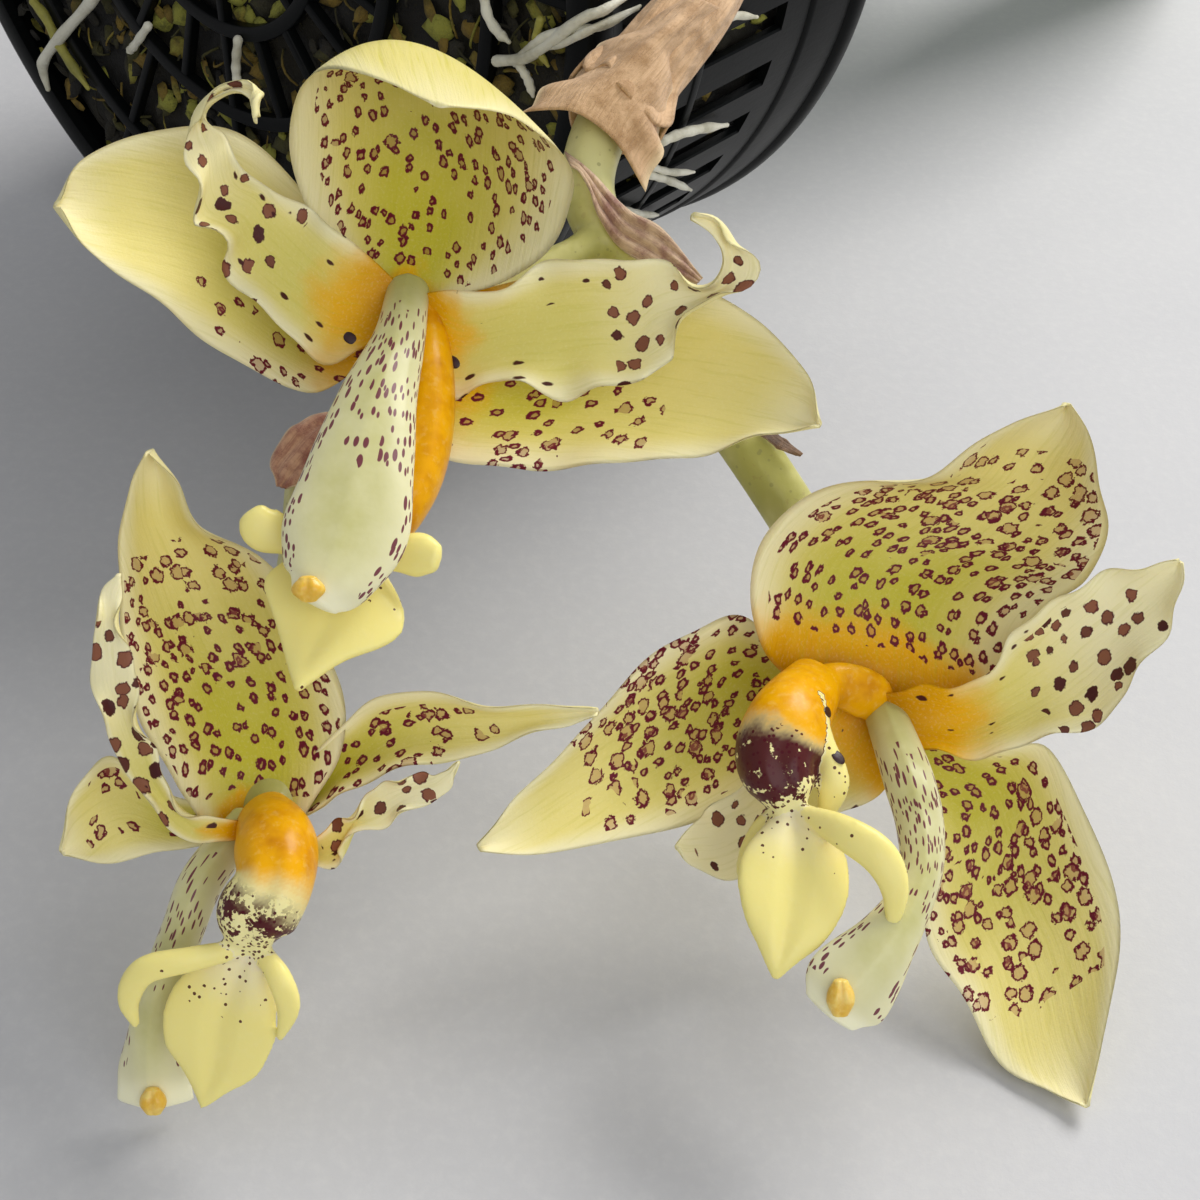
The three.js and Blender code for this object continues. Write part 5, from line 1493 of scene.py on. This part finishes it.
# roots by the pixels of the photograph, laid on the outside of the basket; the last number is the radius
rootSettings = {
    "pale": ["d9d6c4", "a49f86", [
        [[100, -10], [84, 10], [61, 36], [45, 58], [43, 70], [48, 89], 1.25],
        [[148, 26], [134, 46], [128, 52], 0.9],
        [[238, 40], [236, 66], [238, 90], 0.9],
        [[497, 61], [524, 58], [548, 44], [580, 20], [606, 8], [632, -6], 1.0],
        [[516, 62], [540, 40], [566, 30], [600, 26], [638, 8], 0.85],
        [[530, 48], [560, 44], [590, 30], [640, 6], 0.7],
        [[484, -4], [488, 16], [498, 32], [509, 42], 0.9],
        [[520, 66], [528, 80], [533, 96], 0.8],
        [[663, 141], [680, 134], [700, 129], [727, 125], 0.95],
        [[652, 167], [670, 172], [694, 172], 0.7],
        [[650, 175], [668, 180], [691, 190], 0.8],
        [[626, 210], [642, 214], [658, 215], 0.7],
        [[694, 38], [712, 26], [734, 16], [757, 17], 0.8],
    ]],
    "green": ["9a9440", "6d6a2c", [
        [[34, 2], [46, 18], [60, 46], [74, 68], [88, 88], 1.1],
        [[540, 20], [536, 44], [548, 66], 0.7],
    ]],
}


def onBasket(pixel, lift):
    # where a line of sight meets the base or wall, as a point in basket measures
    start = toBasket(np.array(eyeAt))
    way = basketAxes @ np.array(sightLine(pixel))
    at = start + way * ((-lift - start[2]) / way[2])
    if math.hypot(at[0], at[1]) <= basketSettings["footRadius"] - 1:
        return at
    radius = basketSettings["wallRadius"] + 0.9 + lift
    a, b, c = way[:2] @ way[:2], start[:2] @ way[:2], start[:2] @ start[:2] - radius ** 2
    inside = b * b - a * c
    return at if inside < 0 else start + way * ((-b - math.sqrt(inside)) / a)


def rootLook(name, light, dark):
    look = Look(name)
    at = look.place()
    cloud = look.noise(at, 110, 4.0)
    fine = look.noise(at, 1300)
    return look.finish(look.mix(cloud.ramp(0.4, 0.75), linear(light), linear(dark)), fine * 0.2 + 0.5,
                       fine + cloud, 0.6, 0.0004, fleshy(0.2, (1.0, 0.9, 0.7), 0.0012))


def buildRoots(kind):
    light, dark, roots = rootSettings[kind]
    parts = Parts()
    t = np.linspace(0, 1, 40)
    angle = circle(10)
    for *pixels, size in roots:
        line = keyedLine([onBasket(p, size * 0.8) for p in pixels], 40)
        radius = size * (1 - 0.55 * eased(t, 0.75, 1.0)) * (1 + 0.08 * np.sin(23 * t + size * 9))
        tangent, across, up = framed(line, [0.31, 0.22, 1.0])
        ring = (across[:, None] * (radius[:, None] * np.cos(angle))[..., None]
                + up[:, None] * (radius[:, None] * np.sin(angle))[..., None])
        parts.add(*closedTube(line, ring, tangent, radius)[:2])
    parts.build(f"roots_{kind}", fromBasket, rootLook(kind + "Root", light, dark), "moss", "root_ball")


buildCore()
random.seed(mossSettings["seed"])
scatter("root_ball_flakes", mossSettings["flakes"], flake)
scatter("root_ball_strands", mossSettings["strands"], strand)
for kind in rootSettings:
    buildRoots(kind)
print("moss and roots built")


# pseudobulbs and leaves at the mouth of the basket
bulbSettings = {
    "at": [[-5, -20], [27, 12], [-30, 17]],
    "radius": [14, 13, 13],
    "lean": [[0, -3], [4, 0], [-6, 2]],
    "foot": 62, "height": 52, "sizes": [0.45, 0.92, 1, 0.66, 0.16],
    "rows": 64, "sides": 72, "huskRows": 26, "huskFrom": 0.02, "huskTo": 0.5,
}
leafSettings = {
    "spines": [
        [[-5, -23, 115], [-8, -36, 150], [-14, -36, 192], [-24, -4, 244], [-34, 52, 284], [-38, 97.5, 302]],
        [[31, 12, 116], [34, 2, 150], [38, 0, 202], [41, 30, 260], [42, 74, 296], [42, 97.5, 312]],
        [[-36, 19, 116], [-50, 6, 150], [-76, -10, 196], [-104, 8, 242], [-124, 58, 270], [-132, 97, 286]],
    ],
    "wide": [[2, 5, 25, 33, 22, 2], [2, 5, 22, 28, 17, 2], [2, 5, 24, 30, 20, 2]],
    "rows": 120, "columns": 47, "thickness": 0.9, "pleat": 0.75, "crease": 0.28, "droop": 0.16,
}


def bulbLook():
    look = Look("bulbSkin")
    at = look.place()
    cloud = look.noise(at, 70, 4.0)
    fine = look.noise(at, 800)
    colour = look.mix(cloud.ramp(0.35, 0.7), linear("7f9446"), linear("5c7431"))
    colour = look.mix(look.attribute("along").ramp(0.3, 0.0) * 0.8, colour, linear("8a7a46"))
    colour = look.mix((fine > 0.64) * 0.3, colour, linear("57482a"))
    return look.finish(colour, fine * 0.2 + 0.32, fine * 0.4 + cloud, 0.4, 0.0005, {"Coat Weight": 0.15})


def huskLook():
    look = Look("dryHusk")
    at = look.place()
    cloud = look.noise(at, 90, 4.0, 0.65)
    fibre = look.noise(at, 700, 4.0, 0.65)
    colour = look.mix(cloud, linear("a58f6a"), linear("6f5a3c"))
    colour = look.mix((fibre - 0.5).ramp(0, 0.2) * 0.5, colour, linear("c6b48d"))
    return look.finish(colour, fibre * 0.2 + 0.65, fibre + cloud, 0.8, 0.0006)


def leafLook():
    look = Look("leafSkin")
    flat = look.flat()
    side, upper = abs(look.attribute("side")), look.attribute("inside")
    cloud = look.noise(flat, 5, 4.0, size="2D")
    veins = look.noise(look.scaled(flat, 190, 4, 1), 1.0, 3.0, 0.55, "2D")
    fine = look.noise(flat, 600, size="2D")
    colour = look.mix(cloud.ramp(0.3, 0.7), linear("3f6a2a"), linear("58823a"))
    for amount, code in ((veins.ramp(0.5, 0.72) * 0.45, "7ba152"), (side.ramp(0.05, 0.0) * 0.7, "8fb065"),
                         (upper.ramp(0.65, 0.35) * 0.5, "8aa568"), (side.ramp(0.93, 1.0) * 0.5, "6a6b35"),
                         ((fine > 0.66) * 0.12, "8f9a55")):
        colour = look.mix(amount, colour, linear(code))
    return look.finish(colour, fine * 0.15 + 0.28, veins + fine * 0.15, 0.45, 0.0006,
                       {**fleshy(0.08, (0.6, 1.0, 0.3), 0.0015), "Coat Weight": 0.2, "Coat Roughness": 0.25})


bulbSkin, huskSkin, leafSkin = bulbLook(), huskLook(), leafLook()


def buildBulb(number):
    s = bulbSettings
    rows, sides, foot, height = s["rows"], s["sides"], s["foot"], s["height"]
    (x, y), (leanX, leanY) = s["at"][number], s["lean"][number]
    node = f"pseudobulb_{number + 1}"
    share = np.array([0, 0.25, 0.5, 0.78, 1])
    size = np.array(s["sizes"]) * s["radius"][number]
    keys = np.column_stack([x + leanX * share, y + leanY * share, foot + height * share, size])
    line = keyedLine(keys, rows)
    line, width = line[:, :3], line[:, 3]
    angle = circle(sides)
    t = np.linspace(0, 1, rows)[:, None]
    rib = 1 + 0.055 * np.cos(6 * angle[None, :] + 0.7 * number) * np.sin(math.pi * np.clip(t, 0, 1)) ** 0.6
    reach = width[:, None] * rib * (1 + 0.008 * np.sin(31 * angle[None, :] + 3 * t))
    ring = np.stack([reach * np.cos(angle), reach * np.sin(angle), 0 * reach], -1)
    points, faces, along = closedTube(line, ring, framed(line)[0], 0.3 * width)[:3]
    piece = makeObject(node + "_flesh", fromBasket(points), faces, bulbSkin, node)
    addAttributes(piece, {"along": along})
    # torn dry husk round the lower half
    skins = []
    tear = 1 - 0.42 * (0.5 + 0.5 * np.sin(3 * angle + number) * np.cos(7 * angle + 2 * number))
    bottom = foot + height * s["huskFrom"]
    for face in (1.03, 1.06):
        for i, grown in enumerate(np.linspace(s["huskFrom"], s["huskTo"], s["huskRows"])):
            k = int(grown * (rows - 1))
            part = grown * (rows - 1) - k
            middle = line[k] * (1 - part) + line[k + 1] * part
            w = (width[k] * (1 - part) + width[k + 1] * part) * (face + 0.05 * (i / s["huskRows"]) ** 2)
            skins.append(np.column_stack([middle[0] + w * np.cos(angle), middle[1] + w * np.sin(angle),
                                          bottom + (middle[2] - bottom) * tear]))
    makeObject(node + "_husk", fromBasket(np.vstack(skins)), sleeveFaces(s["huskRows"], sides), huskSkin,
               node)


def buildLeaf(number):
    s = leafSettings
    spine = np.array(s["spines"][number], float)
    wide = np.array(s["wide"][number], float)[:, None]
    ext = extended(spine)
    tangent = unit(ext[2:] - ext[:-2])
    across = unit(np.array([1.0, 0, 0]) - tangent * tangent[:, :1])
    drop = np.cross(across, tangent) * (s["droop"] * wide)
    rails = {"left": spine - across * wide - drop, "mid": spine, "right": spine + across * wide - drop}
    grid, facing, along = bladeMiddle(rails, s["rows"], s["columns"])
    u = np.linspace(-1, 1, s["columns"])[None, :]
    body = (eased(along, 0.12, 0.34) * (1 - eased(along, 0.86, 0.99)))[:, None]
    pleats = np.cos(5 * math.pi * u) * (1 - np.abs(u) ** 4)
    sunk = (s["pleat"] * (pleats + 1) - s["crease"] * dent(u, 0.06)) * body * 0.5
    grid = grid - facing * sunk[..., None]
    node = f"leaf_{number + 1}"
    thickBlade(node + "_blade", grid, facing, s["thickness"], leafSkin, node, fromBasket,
               30 + number)


for number in range(len(leafSettings["spines"])):
    buildBulb(number)
    buildLeaf(number)
print("bulbs and leaves built")


# floor, light and air
floorSettings = {"half": 9, "cool": "bcbcbe", "warm": "c9c8c8", "fleck": "d6d5d3"}
# place, aim, size, watts and colour of each light
lightSettings = {
    "windowLight": [(0.7, 0.55, 1.0), (-0.02, -0.12, 0.03), (0.8, 0.7), 18, (1.0, 0.985, 0.96)],
    "roomFill": [(0.35, -1.0, 0.6), (0.04, -0.05, 0.0), (0.9, 0.7), 4.2, (0.97, 0.98, 1.0)],
}
airSettings = {"colour": (0.78, 0.8, 0.84, 1), "strength": 0.52}


def floorLook():
    cool, warm, fleck = [linear(floorSettings[key]) for key in ("cool", "warm", "fleck")]
    look = Look("floorPaper")
    at = look.place()
    soft = look.noise(at, 14, 5.0, 0.62)
    fine = look.noise(at, 420, 4.0, 0.7)
    colour = look.mix((fine - 0.5).ramp(-0.1, 0.25) * 0.25, look.mix(soft, cool, warm), fleck)
    return look.finish(colour, fine * 0.2 + 0.55, fine * 0.7 + soft * 0.3, 0.25, 0.0004)


half = floorSettings["half"]
floorMesh = bpy.data.meshes.new("floorSheet")
corners = [(-half, -half, 0), (half, -half, 0), (half, half, 0), (-half, half, 0)]
floorMesh.from_pydata(corners, [], [(0, 1, 2, 3)])
floorMesh.materials.append(floorLook().material)
floor = bpy.data.objects.new("floorSheet", floorMesh)
bpy.context.scene.collection.objects.link(floor)

for name, (at, aim, size, power, colour) in lightSettings.items():
    data = bpy.data.lights.new(name, "AREA")
    data.shape = "RECTANGLE"
    data.size, data.size_y = size
    data.energy = power
    data.color = colour
    lamp = bpy.data.objects.new(name, data)
    lamp.location = at
    lamp.rotation_euler = (Vector(at) - Vector(aim)).to_track_quat("Z", "Y").to_euler()
    bpy.context.scene.collection.objects.link(lamp)

air = bpy.data.worlds.new("roomAir")
air.use_nodes = True
background = air.node_tree.nodes["Background"]
background.inputs[0].default_value = airSettings["colour"]
background.inputs[1].default_value = airSettings["strength"]
bpy.context.scene.world = air
# the shaders' colours are seen as they are
bpy.context.scene.view_settings.view_transform = "Standard"
